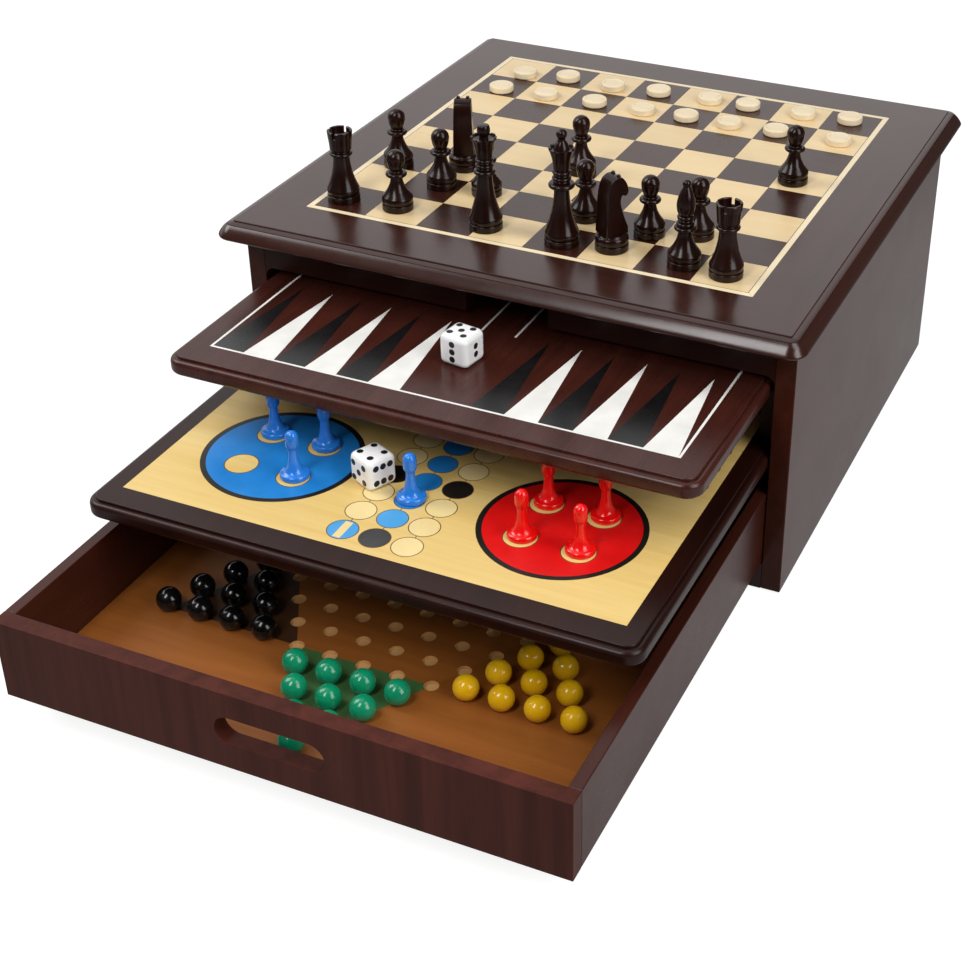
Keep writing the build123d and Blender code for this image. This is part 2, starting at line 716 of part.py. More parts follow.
def save_men(name, single):
    turns = knight_turns if name == "knight" else (0,) * len(standing[name])
    places = [Location((c * square - field_half, r * square - field_half, table_top), (0, 0, turn))
              for (c, r), turn in zip(standing[name], turns)]
    with BuildPart() as group:
        with Locations(*places):
            add(single.part)
    group.part.label = f"chess_{name}s" if len(places) > 1 else f"chess_{name}"
    export_step(group.part, f"parts/{group.part.label}.step")


pawn = turned(men["pawn"], pawn_head_outline)
bishop = turned(men["bishop"], bishop_head_outline)
rook_blank = turned(men["rook"], rook_head_outline)
king_blank = turned(men["king"], king_head_outline)
queen_blank = turned(men["queen"], queen_head_outline)

rook_top = rook_blank.part.bounding_box().max.Z
with BuildPart() as rook:
    add(rook_blank.part)
    for turn in (0, 90):
        with Locations(Location((0, 0, rook_top - battlement_deep / 2), (0, 0, turn))):
            Box(2 * men["rook"]["foot"], battlement_slot, battlement_deep, mode=Mode.SUBTRACT)


def coronet(man, blank, height):
    """The blank with a scalloped rim: round cuts all round the top of its crown."""
    rim = man["flare_top"] + sum(thick for _, thick in man["rings"]) + height
    with BuildPart() as crowned:
        add(blank.part)
        with PolarLocations(coronet_ring, coronet_points):
            with Locations((0, 0, rim + 0.5)):
                Sphere(coronet_cut, mode=Mode.SUBTRACT)
    return crowned


king = coronet(men["king"], king_blank, king_crown)
queen = coronet(men["queen"], queen_blank, queen_crown)

# The knight's foot is turned and its head and neck are carved from a flat blank.
with BuildPart() as knight_foot:
    with BuildSketch(Plane.XZ):
        with BuildLine():
            foot_end = draw_stem(men["knight"])
            Line(foot_end, (0, foot_end[1]))
            Line((0, foot_end[1]), (0, 0))
        make_face()
    revolve(axis=Axis.Z)
neck_bottom = foot_end[1]
with BuildPart() as knight_head:
    with BuildSketch(Plane.XZ.offset(-knight_thickness / 2)):
        with BuildLine():
            Spline((-6.2, neck_bottom - 0.5), (-5.9, 18), (-5.4, 29), (-3.2, 36.4), (0.2, 39.2))
            Polyline((0.2, 39.2), (2.4, 40.0), (3.2, 37.9), (4.6, 36.4))
            Spline((4.6, 36.4), (6.4, 33.2), (6.8, 30.8))
            Polyline((6.8, 30.8), (6.1, 28.9), (4.3, 28.4), (2.7, 28.9))
            Spline((2.7, 28.9), (1.8, 25.6), (3.6, 18.6), (6.0, 12.6), (6.2, neck_bottom - 0.5))
            Line((6.2, neck_bottom - 0.5), (-6.2, neck_bottom - 0.5))
        make_face()
    extrude(amount=knight_thickness)
    chamfer(knight_head.edges().filter_by(Axis.Y, reverse=True), knight_chamfer)
    with Locations((0, 0, knight_head.part.bounding_box().max.Z)):
        Box(2 * men["knight"]["foot"], ear_gap, ear_height, mode=Mode.SUBTRACT)
with BuildPart() as knight:
    add(knight_foot.part)
    add(knight_head.part)

for name, single in (("king", king), ("queen", queen), ("bishop", bishop), ("knight", knight),
                     ("rook", rook), ("pawn", pawn)):
    save_men(name, single)
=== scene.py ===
import math
import bmesh
import bpy
from mathutils import Matrix, Vector


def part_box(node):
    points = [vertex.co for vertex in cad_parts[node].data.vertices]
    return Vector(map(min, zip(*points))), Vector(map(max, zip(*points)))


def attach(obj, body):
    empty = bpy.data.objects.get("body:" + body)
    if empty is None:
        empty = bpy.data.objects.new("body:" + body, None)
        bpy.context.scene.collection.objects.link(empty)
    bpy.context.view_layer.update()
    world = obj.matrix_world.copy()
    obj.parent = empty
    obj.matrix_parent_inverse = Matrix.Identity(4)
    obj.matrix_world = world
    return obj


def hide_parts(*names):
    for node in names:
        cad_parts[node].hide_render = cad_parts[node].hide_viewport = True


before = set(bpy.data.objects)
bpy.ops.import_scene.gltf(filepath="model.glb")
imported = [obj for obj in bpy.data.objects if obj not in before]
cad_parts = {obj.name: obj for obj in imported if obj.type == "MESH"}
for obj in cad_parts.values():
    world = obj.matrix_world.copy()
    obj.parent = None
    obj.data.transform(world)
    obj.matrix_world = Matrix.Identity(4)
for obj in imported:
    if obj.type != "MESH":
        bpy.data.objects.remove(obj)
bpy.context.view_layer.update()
scene = bpy.context.scene
mm = 0.001
print("frame loaded")


# ---- shader building blocks
def addNode(tree, kind, x, y, **settings):
    node = tree.nodes.new(kind)
    node.location = (x, y)
    for key, value in settings.items():
        setattr(node, key, value)
    return node


def link(tree, start, end):
    tree.links.new(start, end)


def calc(tree, x, y, operation, *terms):
    # a Math node, each term a number or a socket
    node = addNode(tree, "ShaderNodeMath", x, y, operation=operation)
    for socket, term in zip(node.inputs, terms):
        if isinstance(term, (int, float)):
            socket.default_value = term
        else:
            link(tree, term, socket)
    return node.outputs[0]


def blendColour(tree, x, y, factor, first, second, mode="MIX"):
    node = addNode(tree, "ShaderNodeMix", x, y, data_type="RGBA", blend_type=mode)
    for socket, term in zip((node.inputs[0], node.inputs[6], node.inputs[7]), (factor, first, second)):
        if isinstance(term, (int, float, tuple)):
            socket.default_value = term
        else:
            link(tree, term, socket)
    return node.outputs[2]


def remap(tree, x, y, value, low, high, newLow, newHigh):
    node = addNode(tree, "ShaderNodeMapRange", x, y, clamp=True)
    link(tree, value, node.inputs[0])
    for socket, number in zip(node.inputs[1:5], (low, high, newLow, newHigh)):
        socket.default_value = number
    return node.outputs[0]


def stretchedNoise(tree, x, y, vector, stretch, detail, roughness=0.55, distortion=0.0):
    mapping = addNode(tree, "ShaderNodeMapping", x, y)
    mapping.inputs["Scale"].default_value = stretch
    link(tree, vector, mapping.inputs["Vector"])
    noise = addNode(tree, "ShaderNodeTexNoise", x + 180, y)
    noise.inputs["Scale"].default_value = 1.0
    noise.inputs["Detail"].default_value = detail
    noise.inputs["Roughness"].default_value = roughness
    noise.inputs["Distortion"].default_value = distortion
    link(tree, mapping.outputs[0], noise.inputs["Vector"])
    return noise.outputs["Fac"]


def newGroup(name, inputs, outputs):
    group = bpy.data.node_groups.new(name, "ShaderNodeTree")
    for label, kind, start in inputs:
        socket = group.interface.new_socket(name=label, in_out="INPUT", socket_type="NodeSocket" + kind)
        if start is not None:
            socket.default_value = start
    for label, kind in outputs:
        group.interface.new_socket(name=label, in_out="OUTPUT", socket_type="NodeSocket" + kind)
    return group, addNode(group, "NodeGroupInput", -900, 0), addNode(group, "NodeGroupOutput", 900, 0)


def useGroup(tree, group, x, y, **values):
    node = addNode(tree, "ShaderNodeGroup", x, y, node_tree=group)
    for label, value in values.items():
        if isinstance(value, bpy.types.NodeSocket):
            link(tree, value, node.inputs[label])
        else:
            node.inputs[label].default_value = value
    return node


def colour(red, green, blue):
    # a colour written as it looks on a screen, 0 to 255, turned into the linear value that shaders take
    def linear(c):
        c /= 255
        return c / 12.92 if c <= 0.04045 else ((c + 0.055) / 1.055) ** 2.4
    return (linear(red), linear(green), linear(blue), 1.0)


# ---- shared effects
def buildWoodGrain():
    # straight-grained wood, the grain along X: broad figure, fine fibres and short dark pores
    group, start, end = newGroup(
        "woodGrain",
        [("Vector", "Vector", None), ("Dark", "Color", None), ("Light", "Color", None),
         ("Figure", "Float", 0.6), ("Pores", "Float", 0.4)],
        [("Color", "Color"), ("Height", "Float")])
    vector = start.outputs["Vector"]
    broad = stretchedNoise(group, -700, 300, vector, (5, 95, 95), 4, 0.55, 0.6)
    fibre = stretchedNoise(group, -700, 0, vector, (28, 900, 900), 5, 0.6)
    pore = stretchedNoise(group, -700, -300, vector, (110, 2300, 2300), 2, 0.5)
    figure = remap(group, -300, 300, broad, 0.3, 0.7, 0, 1)
    fine = remap(group, -300, 0, fibre, 0.25, 0.75, 0, 1)
    poreMask = remap(group, -300, -300, pore, 0.66, 0.74, 0, 1)
    figurePart = calc(group, -100, 300, "MULTIPLY", figure, start.outputs["Figure"])
    restPart = calc(group, -100, 150, "SUBTRACT", 1.0, start.outputs["Figure"])
    finePart = calc(group, 60, 100, "MULTIPLY", fine, restPart)
    tone = calc(group, 220, 200, "ADD", figurePart, finePart)
    mixed = blendColour(group, 400, 200, tone, start.outputs["Dark"], start.outputs["Light"])
    poreAmount = calc(group, 220, -200, "MULTIPLY", poreMask, start.outputs["Pores"])
    darkened = blendColour(group, 600, 100, poreAmount, mixed, (0.25, 0.2, 0.18, 1), "MULTIPLY")
    link(group, darkened, end.inputs["Color"])
    link(group, calc(group, 600, -200, "SUBTRACT", fine, poreMask), end.inputs["Height"])
    return group


def buildHandling():
    # soft uneven sheen where hands and polish have left it, as a value round 0.5
    group, start, end = newGroup("handling", [("Vector", "Vector", None)], [("Mask", "Float")])
    cloud = stretchedNoise(group, -700, 100, start.outputs["Vector"], (22, 22, 22), 4, 0.6, 0.4)
    speck = stretchedNoise(group, -700, -200, start.outputs["Vector"], (600, 600, 600), 2)
    mixed = calc(group, 0, 0, "ADD", calc(group, -200, 100, "MULTIPLY", cloud, 0.8),
                 calc(group, -200, -100, "MULTIPLY", speck, 0.2))
    link(group, mixed, end.inputs["Mask"])
    return group


def buildMitre():
    # turns the grain at the diagonals of a square frame, and marks the joint lines
    group, start, end = newGroup("mitredFrame", [("Vector", "Vector", None), ("Seam", "Float", 0.00012)],
                                 [("Vector", "Vector"), ("Mask", "Float")])
    parts = addNode(group, "ShaderNodeSeparateXYZ", -700, 0)
    link(group, start.outputs["Vector"], parts.inputs[0])
    across = calc(group, -500, 200, "ABSOLUTE", parts.outputs[0])
    along = calc(group, -500, 50, "ABSOLUTE", parts.outputs[1])
    side = calc(group, -300, 150, "GREATER_THAN", across, along)
    turned = addNode(group, "ShaderNodeCombineXYZ", -300, -100)
    link(group, parts.outputs[1], turned.inputs[0])
    link(group, calc(group, -480, -150, "ADD", parts.outputs[0], 0.37), turned.inputs[1])
    link(group, parts.outputs[2], turned.inputs[2])
    pick = addNode(group, "ShaderNodeMix", 0, 0, data_type="VECTOR")
    link(group, side, pick.inputs[0])
    link(group, start.outputs["Vector"], pick.inputs[4])
    link(group, turned.outputs[0], pick.inputs[5])
    gap = calc(group, -100, 300, "ABSOLUTE", calc(group, -250, 300, "SUBTRACT", across, along))
    seam = calc(group, 100, 300, "LESS_THAN", gap, start.outputs["Seam"])
    link(group, pick.outputs[1], end.inputs["Vector"])
    link(group, seam, end.inputs["Mask"])
    return group


def buildVeneer():
    # moves the grain in each square of a chequered field, so that neighbours are different leaves
    group, start, end = newGroup("veneerLeaves",
                                 [("Vector", "Vector", None), ("Square", "Float", 0.029)],
                                 [("Vector", "Vector"), ("Shade", "Float")])
    scaled = addNode(group, "ShaderNodeVectorMath", -700, 0, operation="DIVIDE")
    link(group, start.outputs["Vector"], scaled.inputs[0])
    link(group, start.outputs["Square"], scaled.inputs[1])
    cell = addNode(group, "ShaderNodeVectorMath", -500, 0, operation="FLOOR")
    link(group, scaled.outputs[0], cell.inputs[0])
    chance = addNode(group, "ShaderNodeTexWhiteNoise", -300, 0, noise_dimensions="2D")
    link(group, cell.outputs[0], chance.inputs["Vector"])
    moved = addNode(group, "ShaderNodeVectorMath", 0, 0, operation="ADD")
    link(group, start.outputs["Vector"], moved.inputs[0])
    link(group, chance.outputs["Color"], moved.inputs[1])
    link(group, moved.outputs[0], end.inputs["Vector"])
    link(group, chance.outputs["Value"], end.inputs["Shade"])
    return group


def buildPaintedCorner():
    # one corner triangle of the star: 1 inside it, 0 outside
    group, start, end = newGroup(
        "starCorner",
        [("Vector", "Vector", None), ("Middle", "Float", 0.0), ("Base", "Float", 0.0),
         ("Way", "Float", 1.0), ("Depth", "Float", 0.06)], [("Mask", "Float")])
    parts = addNode(group, "ShaderNodeSeparateXYZ", -700, 0)
    link(group, start.outputs["Vector"], parts.inputs[0])
    across = calc(group, -350, 200, "ABSOLUTE",
                  calc(group, -500, 200, "SUBTRACT", parts.outputs[0], start.outputs["Middle"]))
    reach = calc(group, -350, 0, "MULTIPLY",
                 calc(group, -500, 0, "SUBTRACT", parts.outputs[1], start.outputs["Base"]),
                 start.outputs["Way"])
    left = calc(group, -200, 0, "SUBTRACT", start.outputs["Depth"], reach)
    room = calc(group, -50, 0, "DIVIDE", left, math.sqrt(3))
    inside = calc(group, 100, 100, "LESS_THAN", across, room)
    over = calc(group, 100, -100, "GREATER_THAN", reach, 0.0)
    link(group, calc(group, 300, 0, "MULTIPLY", inside, over), end.inputs["Mask"])
    return group


woodGrain = buildWoodGrain()
handling = buildHandling()
mitredFrame = buildMitre()
veneerLeaves = buildVeneer()
starCorner = buildPaintedCorner()
print("shader groups built")


# ---- materials
def startMaterial(name):
    material = bpy.data.materials.new(name)
    material.use_nodes = True
    tree = material.node_tree
    tree.nodes.clear()
    output = addNode(tree, "ShaderNodeOutputMaterial", 1500, 0)
    shader = addNode(tree, "ShaderNodeBsdfPrincipled", 1200, 0)
    link(tree, shader.outputs[0], output.inputs[0])
    place = addNode(tree, "ShaderNodeTexCoord", -1100, 0).outputs["Object"]
    return material, tree, shader, place


def addBump(tree, shader, height, strength, distance):
    bump = addNode(tree, "ShaderNodeBump", 1000, -400)
    bump.inputs["Strength"].default_value = strength
    bump.inputs["Distance"].default_value = distance
    link(tree, height, bump.inputs["Height"])
    link(tree, bump.outputs[0], shader.inputs["Normal"])


def addGloss(tree, shader, place, low=0.3, high=0.4):
    # roughness that wanders between low and high
    marks = useGroup(tree, handling, -400, -400, Vector=place)
    wander = remap(tree, 200, -300, marks.outputs["Mask"], 0.3, 0.7, low, high)
    link(tree, wander, shader.inputs["Roughness"])


def woodMaterial(name, look):
    # lacquered wood; "frame" turns the grain at mitres, "leaves" cuts it into chess veneers
    material, tree, shader, place = startMaterial(name)
    vector = place
    seam = shade = None
    if look.get("frame"):
        mitre = useGroup(tree, mitredFrame, -900, 200, Vector=place)
        vector, seam = mitre.outputs["Vector"], mitre.outputs["Mask"]
    if look.get("leaves"):
        leaf = useGroup(tree, veneerLeaves, -900, -200, Vector=place)
        vector, shade = leaf.outputs["Vector"], leaf.outputs["Shade"]
    mapping = addNode(tree, "ShaderNodeMapping", -650, 0)
    mapping.inputs["Rotation"].default_value = look.get("turn", (0, 0, 0))
    link(tree, vector, mapping.inputs["Vector"])
    dark, light = look["tones"]
    grain = useGroup(tree, woodGrain, -400, 0, Vector=mapping.outputs[0], Dark=colour(*dark),
                     Light=colour(*light), Figure=look.get("figure", 0.6),
                     Pores=look.get("pores", 0.4))
    tint = grain.outputs["Color"]
    if shade is not None:
        spread = look.get("leafSpread", 0.12)
        level = remap(tree, -200, -250, shade, 0, 1, 1 - spread, 1 + spread)
        scaled = addNode(tree, "ShaderNodeVectorMath", 0, -150, operation="SCALE")
        link(tree, tint, scaled.inputs[0])
        link(tree, level, scaled.inputs[3])
        tint = scaled.outputs[0]
    if seam is not None:
        dirt = calc(tree, 0, 250, "MULTIPLY", seam, 0.6)
        tint = blendColour(tree, 200, 200, dirt, tint, (0.004, 0.002, 0.001, 1))
    addGloss(tree, shader, place, *look.get("rough", ()))
    link(tree, tint, shader.inputs["Base Color"])
    shader.inputs["Specular IOR Level"].default_value = look.get("shine", 0.5)
    addBump(tree, shader, grain.outputs["Height"], look.get("bump", 0.1), 0.00005)
    return material


def plainMaterial(name, look):
    # moulded or painted pieces: an even colour with a little mottle, fine speckle and uneven gloss
    material, tree, shader, place = startMaterial(name)
    cloud = stretchedNoise(tree, -800, 300, place, (60, 60, 60), 3)
    fine = stretchedNoise(tree, -800, 0, place, (900, 900, 900), 3)
    level = remap(tree, -300, 300, cloud, 0.3, 0.7, 0, 1)
    dark, light = look["tones"]
    tint = blendColour(tree, 0, 200, level, colour(*dark), colour(*light))
    addGloss(tree, shader, place, *look.get("rough", ()))
    link(tree, tint, shader.inputs["Base Color"])
    shader.inputs["Coat Weight"].default_value = look.get("coat", 0.0)
    shader.inputs["Coat Roughness"].default_value = 0.05
    shader.inputs["Subsurface Weight"].default_value = look.get("glow", 0.0)
    shader.inputs["Subsurface Radius"].default_value = (0.002, 0.001, 0.0007)
    addBump(tree, shader, fine, 0.03, 0.00004)
    return material


alongY = (0, 0, math.radians(90))
alongZ = (0, math.radians(90), 0)
woodLooks = {
    "topFrameWood": {"tones": ((40, 16, 10), (60, 27, 18)), "rough": (0.18, 0.27), "frame": True,
                     "shine": 0.58},
    "sidePanelWood": {"tones": ((52, 22, 14), (74, 34, 23)), "rough": (0.16, 0.24),
                      "turn": alongY, "shine": 0.15},
    "drawerWood": {"tones": ((58, 24, 17), (88, 42, 32)), "turn": alongZ, "figure": 0.8, "shine": 0.12},
    "drawerSideWood": {"tones": ((50, 21, 14), (70, 31, 21)), "rough": (0.24, 0.34),
                       "turn": alongY, "shine": 0.28},
    "backgammonWood": {"tones": ((48, 20, 15), (74, 34, 26)), "rough": (0.22, 0.32),
                       "turn": alongY, "pores": 0.6, "shine": 0.35},
    "ludoFrameWood": {"tones": ((30, 11, 7), (46, 19, 13)), "rough": (0.26, 0.36),
                      "turn": alongY, "shine": 0.25},
    "darkLeafWood": {"tones": ((42, 19, 12), (60, 28, 19)), "rough": (0.22, 0.32), "leaves": True},
    "paleLeafWood": {"tones": ((226, 197, 146), (238, 211, 163)), "rough": (0.26, 0.36),
                     "leaves": True, "pores": 0.1, "leafSpread": 0.04},
    "borderWood": {"tones": ((236, 214, 172), (247, 230, 194)), "rough": (0.26, 0.36),
                   "frame": True, "pores": 0.1},
    "ludoFieldWood": {"tones": ((222, 186, 108), (240, 210, 138)), "pores": 0.1, "figure": 0.7,
                      "bump": 0.05},
    "draughtWood": {"tones": ((230, 210, 172), (243, 226, 194)), "rough": (0.32, 0.44), "pores": 0.15},
    "chessManWood": {"tones": ((16, 6, 4), (40, 17, 11)), "rough": (0.17, 0.24),
                     "turn": alongZ, "figure": 0.7, "shine": 0.3, "bump": 0.06},
    "innerWood": {"tones": ((30, 12, 8), (46, 20, 13)), "rough": (0.45, 0.6), "turn": alongY,
                  "shine": 0.3},
}
woods = {name: woodMaterial(name, look) for name, look in woodLooks.items()}

paintLooks = {
    "whiteInlay": {"tones": ((232, 230, 224), (248, 247, 243)), "rough": (0.28, 0.38)},
    "blackInlay": {"tones": ((14, 13, 13), (26, 24, 24)), "rough": (0.22, 0.32)},
    "diePlastic": {"tones": ((246, 246, 246), (252, 252, 252)), "rough": (0.14, 0.22),
                   "coat": 0.2, "glow": 0.24},
    "pipInk": {"tones": ((12, 12, 13), (30, 30, 32))},
    "ringInk": {"tones": ((20, 17, 15), (34, 30, 27))},
    "outlineInk": {"tones": ((84, 56, 26), (112, 78, 38))},
    "greyInk": {"tones": ((52, 52, 52), (68, 68, 68))},
    "spotInk": {"tones": ((236, 210, 146), (246, 222, 160))},
}
paints = {name: plainMaterial(name, look) for name, look in paintLooks.items()}


def shifted(tone, step):
    return tuple(max(part + step, 2) for part in tone)


# each team's lane tone is its home ink painted lighter: a painted reflection on the spots that carry it
teamColours = {
    "blue": {"home": (34, 130, 208), "sheenLane": (80, 165, 225), "pawn": (40, 128, 222)},
    "red": {"home": (220, 20, 20), "sheenLane": (232, 96, 88), "pawn": (236, 12, 12)},
    "green": {"home": (26, 130, 72), "sheenLane": (92, 184, 120), "pawn": (18, 130, 66)},
    "yellow": {"home": (238, 188, 34), "sheenLane": (250, 216, 96), "pawn": (243, 190, 22)},
}
teamPaints = {"home": {}, "sheenLane": {}, "pawn": {}}
for team, tones in teamColours.items():
    for use, tone in tones.items():
        look = {"tones": (shifted(tone, -8), shifted(tone, 5)), "rough": (0.28, 0.38)}
        if use == "pawn":
            look.update({"rough": (0.14, 0.22), "glow": 0.2, "coat": 0.2})
        teamPaints[use][team] = plainMaterial(team + use.capitalize(), look)

glassColours = {"green": (14, 142, 100), "black": (9, 9, 10), "yellow": (246, 192, 22),
                "red": (214, 16, 14), "white": (234, 232, 226), "blue": (24, 80, 190)}
marbleGlasses = {}
for team, tone in glassColours.items():
    marbleGlasses[team] = plainMaterial(team + "Glass", {
        "tones": (shifted(tone, -12), shifted(tone, 8)), "rough": (0.13, 0.2), "coat": 0.05,
        "glow": 0.15})
print("materials built")


# ---- mesh building blocks
nothing = 1e-6          # a length in metres that counts as none
printThick = 0.03       # mm, of rings and discs of ink


def edgesOf(bm, old, test):
    found = []
    for edge in bm.edges:
        a, b = edge.verts
        if a not in old and b not in old and test(a.co, b.co):
            found.append(edge)
    return found


def roundEdges(bm, edges, offset, segments):
    bmesh.ops.bevel(bm, geom=edges, offset=offset * mm, offset_type="OFFSET", segments=segments,
                    profile=0.5, affect="EDGES", material=-1, clamp_overlap=True)


def addSlab(bm, low, high, corner=0.0, topRound=0.0, underRound=0.0, allRound=0.0, steps=4):
    # a board between two corners in mm, its upright edges rounded by corner, its rims by the others
    old = set(bm.verts)
    low, high = Vector(low) * mm, Vector(high) * mm
    cube = bmesh.ops.create_cube(bm, size=1.0)["verts"]
    bmesh.ops.scale(bm, vec=high - low, verts=cube)
    bmesh.ops.translate(bm, vec=(low + high) / 2, verts=cube)
    cuts = [(allRound, 3, lambda a, b: True),
            (corner, 7, lambda a, b: abs(a.z - b.z) > nothing),
            (topRound, steps, lambda a, b: min(a.z, b.z) > high.z - nothing),
            (underRound, steps, lambda a, b: max(a.z, b.z) < low.z + nothing)]
    for offset, segments, test in cuts:
        if offset:
            roundEdges(bm, edgesOf(bm, old, test), offset, segments)


def thicken(bm, faces, way):
    # draws flat faces out into a solid
    grown = bmesh.ops.extrude_face_region(bm, geom=faces)["geom"]
    bmesh.ops.translate(bm, verts=[g for g in grown if isinstance(g, bmesh.types.BMVert)], vec=way)


def makePiece(name, bm, body, nodes, slot, *materials, sharp=35):
    bmesh.ops.recalc_face_normals(bm, faces=bm.faces)
    mesh = bpy.data.meshes.new(name)
    bm.to_mesh(mesh)
    bm.free()
    for material in materials:
        mesh.materials.append(material)
    mesh.shade_smooth()
    mesh.set_sharp_from_angle(angle=math.radians(sharp))
    piece = bpy.data.objects.new(name, mesh)
    scene.collection.objects.link(piece)
    even = piece.modifiers.new("evenNormals", "WEIGHTED_NORMAL")
    even.keep_sharp = True
    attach(piece, body)
    if nodes:
        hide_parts(*nodes)
    return piece


def makePanel(name, node, body, slot, material, edge):
    # a panel with eased edges, as large as its CAD node
    low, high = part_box(node)
    bm = bmesh.new()
    addSlab(bm, low / mm, high / mm, allRound=edge)
    makePiece(name, bm, body, [node], slot, material)


def runOf(points, steps=6):
    # the outline through the points; one with four numbers is reached by a curve pulled to its last two
    run = [points[0][:2]]
    for point in points[1:]:
        if len(point) == 2:
            run.append(point)
        else:
            (r0, z0), (r2, z2, r1, z1) = run[-1], point
            for k in range(1, steps + 1):
                t = k / steps
                run.append(((1 - t) ** 2 * r0 + 2 * t * (1 - t) * r1 + t * t * r2,
                            (1 - t) ** 2 * z0 + 2 * t * (1 - t) * z1 + t * t * z2))
    return run


def ballRun(neck, z, radius, steps=8):
    # a ball on the axis from a neck of that radius up to its top
    middle = z + math.sqrt(radius ** 2 - neck ** 2)
    first = math.atan2(z - middle, neck)
    turn = [first + (math.pi / 2 - first) * k / steps for k in range(1, steps + 1)]
    return [(max(radius * math.cos(a), 0.0), middle + radius * math.sin(a)) for a in turn]


def addTurned(bm, outline, x, y, z, steps=40, closed=False):
    # spins an outline, radius and height in mm, about an upright axis at x, y, standing at z
    base = Vector((x, y, z)) * mm
    verts = [bm.verts.new(base + Vector((r * mm, 0, h * mm))) for r, h in outline]
    edges = [bm.edges.new(pair) for pair in zip(verts, verts[1:])]
    if closed:
        edges.append(bm.edges.new((verts[-1], verts[0])))
    old = set(bm.verts) - set(verts)
    bmesh.ops.spin(bm, geom=verts + edges, cent=base, axis=(0, 0, 1), dvec=(0, 0, 0),
                   angle=2 * math.pi, steps=steps, use_merge=True, use_duplicate=False)
    made = [v for v in bm.verts if v not in old]
    bmesh.ops.remove_doubles(bm, verts=made, dist=nothing)


def addDrum(bm, radius, tip, depth, matrix, segments, index=0):
    # a disc or a cone, with the number of its material
    made = bmesh.ops.create_cone(bm, cap_ends=True, segments=segments, radius1=radius * mm,
                                 radius2=tip * mm, depth=depth * mm, matrix=matrix)
    for vert in made["verts"]:
        for face in vert.link_faces:
            face.material_index = index


def addRing(bm, x, y, z, outer, inner, steps=32):
    # a printed ring, z its upper face
    under = z - printThick
    addTurned(bm, [(inner, under), (outer, under), (outer, z), (inner, z)], x, y, 0, steps, closed=True)


def dressNode(node, material):
    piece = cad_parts[node]
    piece.data.materials.clear()
    piece.data.materials.append(material)


# ---- cabinet: panels with eased edges, and the plain inner woodwork
cabinet = {"edge": 0.55}
for side in ("left", "right"):
    makePanel("sidePanel" + side.capitalize(), "side_" + side, "cabinet", "mahogany",
              woods["sidePanelWood"], cabinet["edge"])
# the front rail and back panel take a darker brown than the side panels: painted shade for the dark under
# the top board
for node in ("front_rail", "back_panel"):
    dressNode(node, woodMaterial("wood_" + node, {
        "tones": ((32, 13, 8), (50, 22, 14)), "figure": 0.65, "shine": 0.15}))
dressNode("base_panel", woods["innerWood"])
for level in ("lower", "middle", "top"):
    for side in ("left", "right"):
        dressNode("batten_" + level + "_" + side, woods["innerWood"])
print("cabinet made")

# ---- top board: nosing, bead and plate, mitred at the corners
top = {
    "place": (1.5, -1.5), "half": 154, "corner": 9,
    # from the underside to the plate: how far in from the outline, how high
    "profile": [(6.6, 144.4), (1.6, 143.5), (0, 144.7, 0, 143.5), (0.3, 145.4),
                (4.6, 150.2, 1.9, 148.2), (4.75, 150.0), (4.85, 150.45), (8.0, 151.2, 6.0, 150.85),
                (8.05, 151.75), (8.4, 151.95)],
}


def addLoops(bm, middle, half, corner, profile, steps=8):
    # sweeps a profile round a square with round corners, and closes it below and above
    loops = []
    for inset, z in profile:
        radius = corner - inset
        reach = half - inset - radius
        loop = []
        for k, (sx, sy) in enumerate(((1, 1), (-1, 1), (-1, -1), (1, -1))):
            for n in range(steps + 1):
                a = math.pi / 2 * (k + n / steps)
                x = middle[0] + sx * reach + radius * math.cos(a)
                y = middle[1] + sy * reach + radius * math.sin(a)
                loop.append(bm.verts.new(Vector((x, y, z)) * mm))
        loops.append(loop)
    for below, above in zip(loops, loops[1:]):
        for k in range(len(below)):
            bm.faces.new((below[k], below[k - 1], above[k - 1], above[k]))
    bm.faces.new(loops[0])
    bm.faces.new(loops[-1])


bm = bmesh.new()
addLoops(bm, top["place"], top["half"], top["corner"], runOf(top["profile"]))
makePiece("topFrame", bm, "cabinet", ["top_board"], "mahogany", woods["topFrameWood"])
dressNode("squares_dark", woods["darkLeafWood"])
dressNode("squares_light", woods["paleLeafWood"])
dressNode("chess_border", woods["borderWood"])
print("top made")


# ---- sliding boards: a rounded edge with a plate stepped in on top
board = {"step": 1.4, "nose": 2.4, "under": 2.0, "inset": 3.2, "arris": 0.5, "corner": 9.0,
         "plate": 4.0, "sink": 0.05}


def makeBoard(name, node, body, slot, material):
    low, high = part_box(node)
    low, high = low / mm, high / mm
    bm = bmesh.new()
    addSlab(bm, low, (high.x, high.y, high.z - board["step"]), board["corner"], board["nose"],
            board["under"], steps=5)
    inset = board["inset"]
    addSlab(bm, (low.x + inset, low.y + inset, high.z - board["plate"]),
            (high.x - inset, high.y - inset, high.z - board["sink"]),
            board["corner"] - inset, board["arris"], steps=3)
    makePiece(name, bm, body, [node], slot, material)


makeBoard("backgammonBoard", "backgammon_board", "backgammon_slide", "red_mahogany",
          woods["backgammonWood"])
makeBoard("ludoFrame", "ludo_board", "ludo_slide", "ludo_frame_wood", woods["ludoFrameWood"])
dressNode("backgammon_lines", paints["whiteInlay"])
dressNode("points_white", paints["whiteInlay"])
dressNode("points_dark", paints["blackInlay"])
dressNode("ludo_field", woods["ludoFieldWood"])
for name, paint in teamPaints["home"].items():
    dressNode("ludo_home_" + name, paint)
print("sliding boards made")

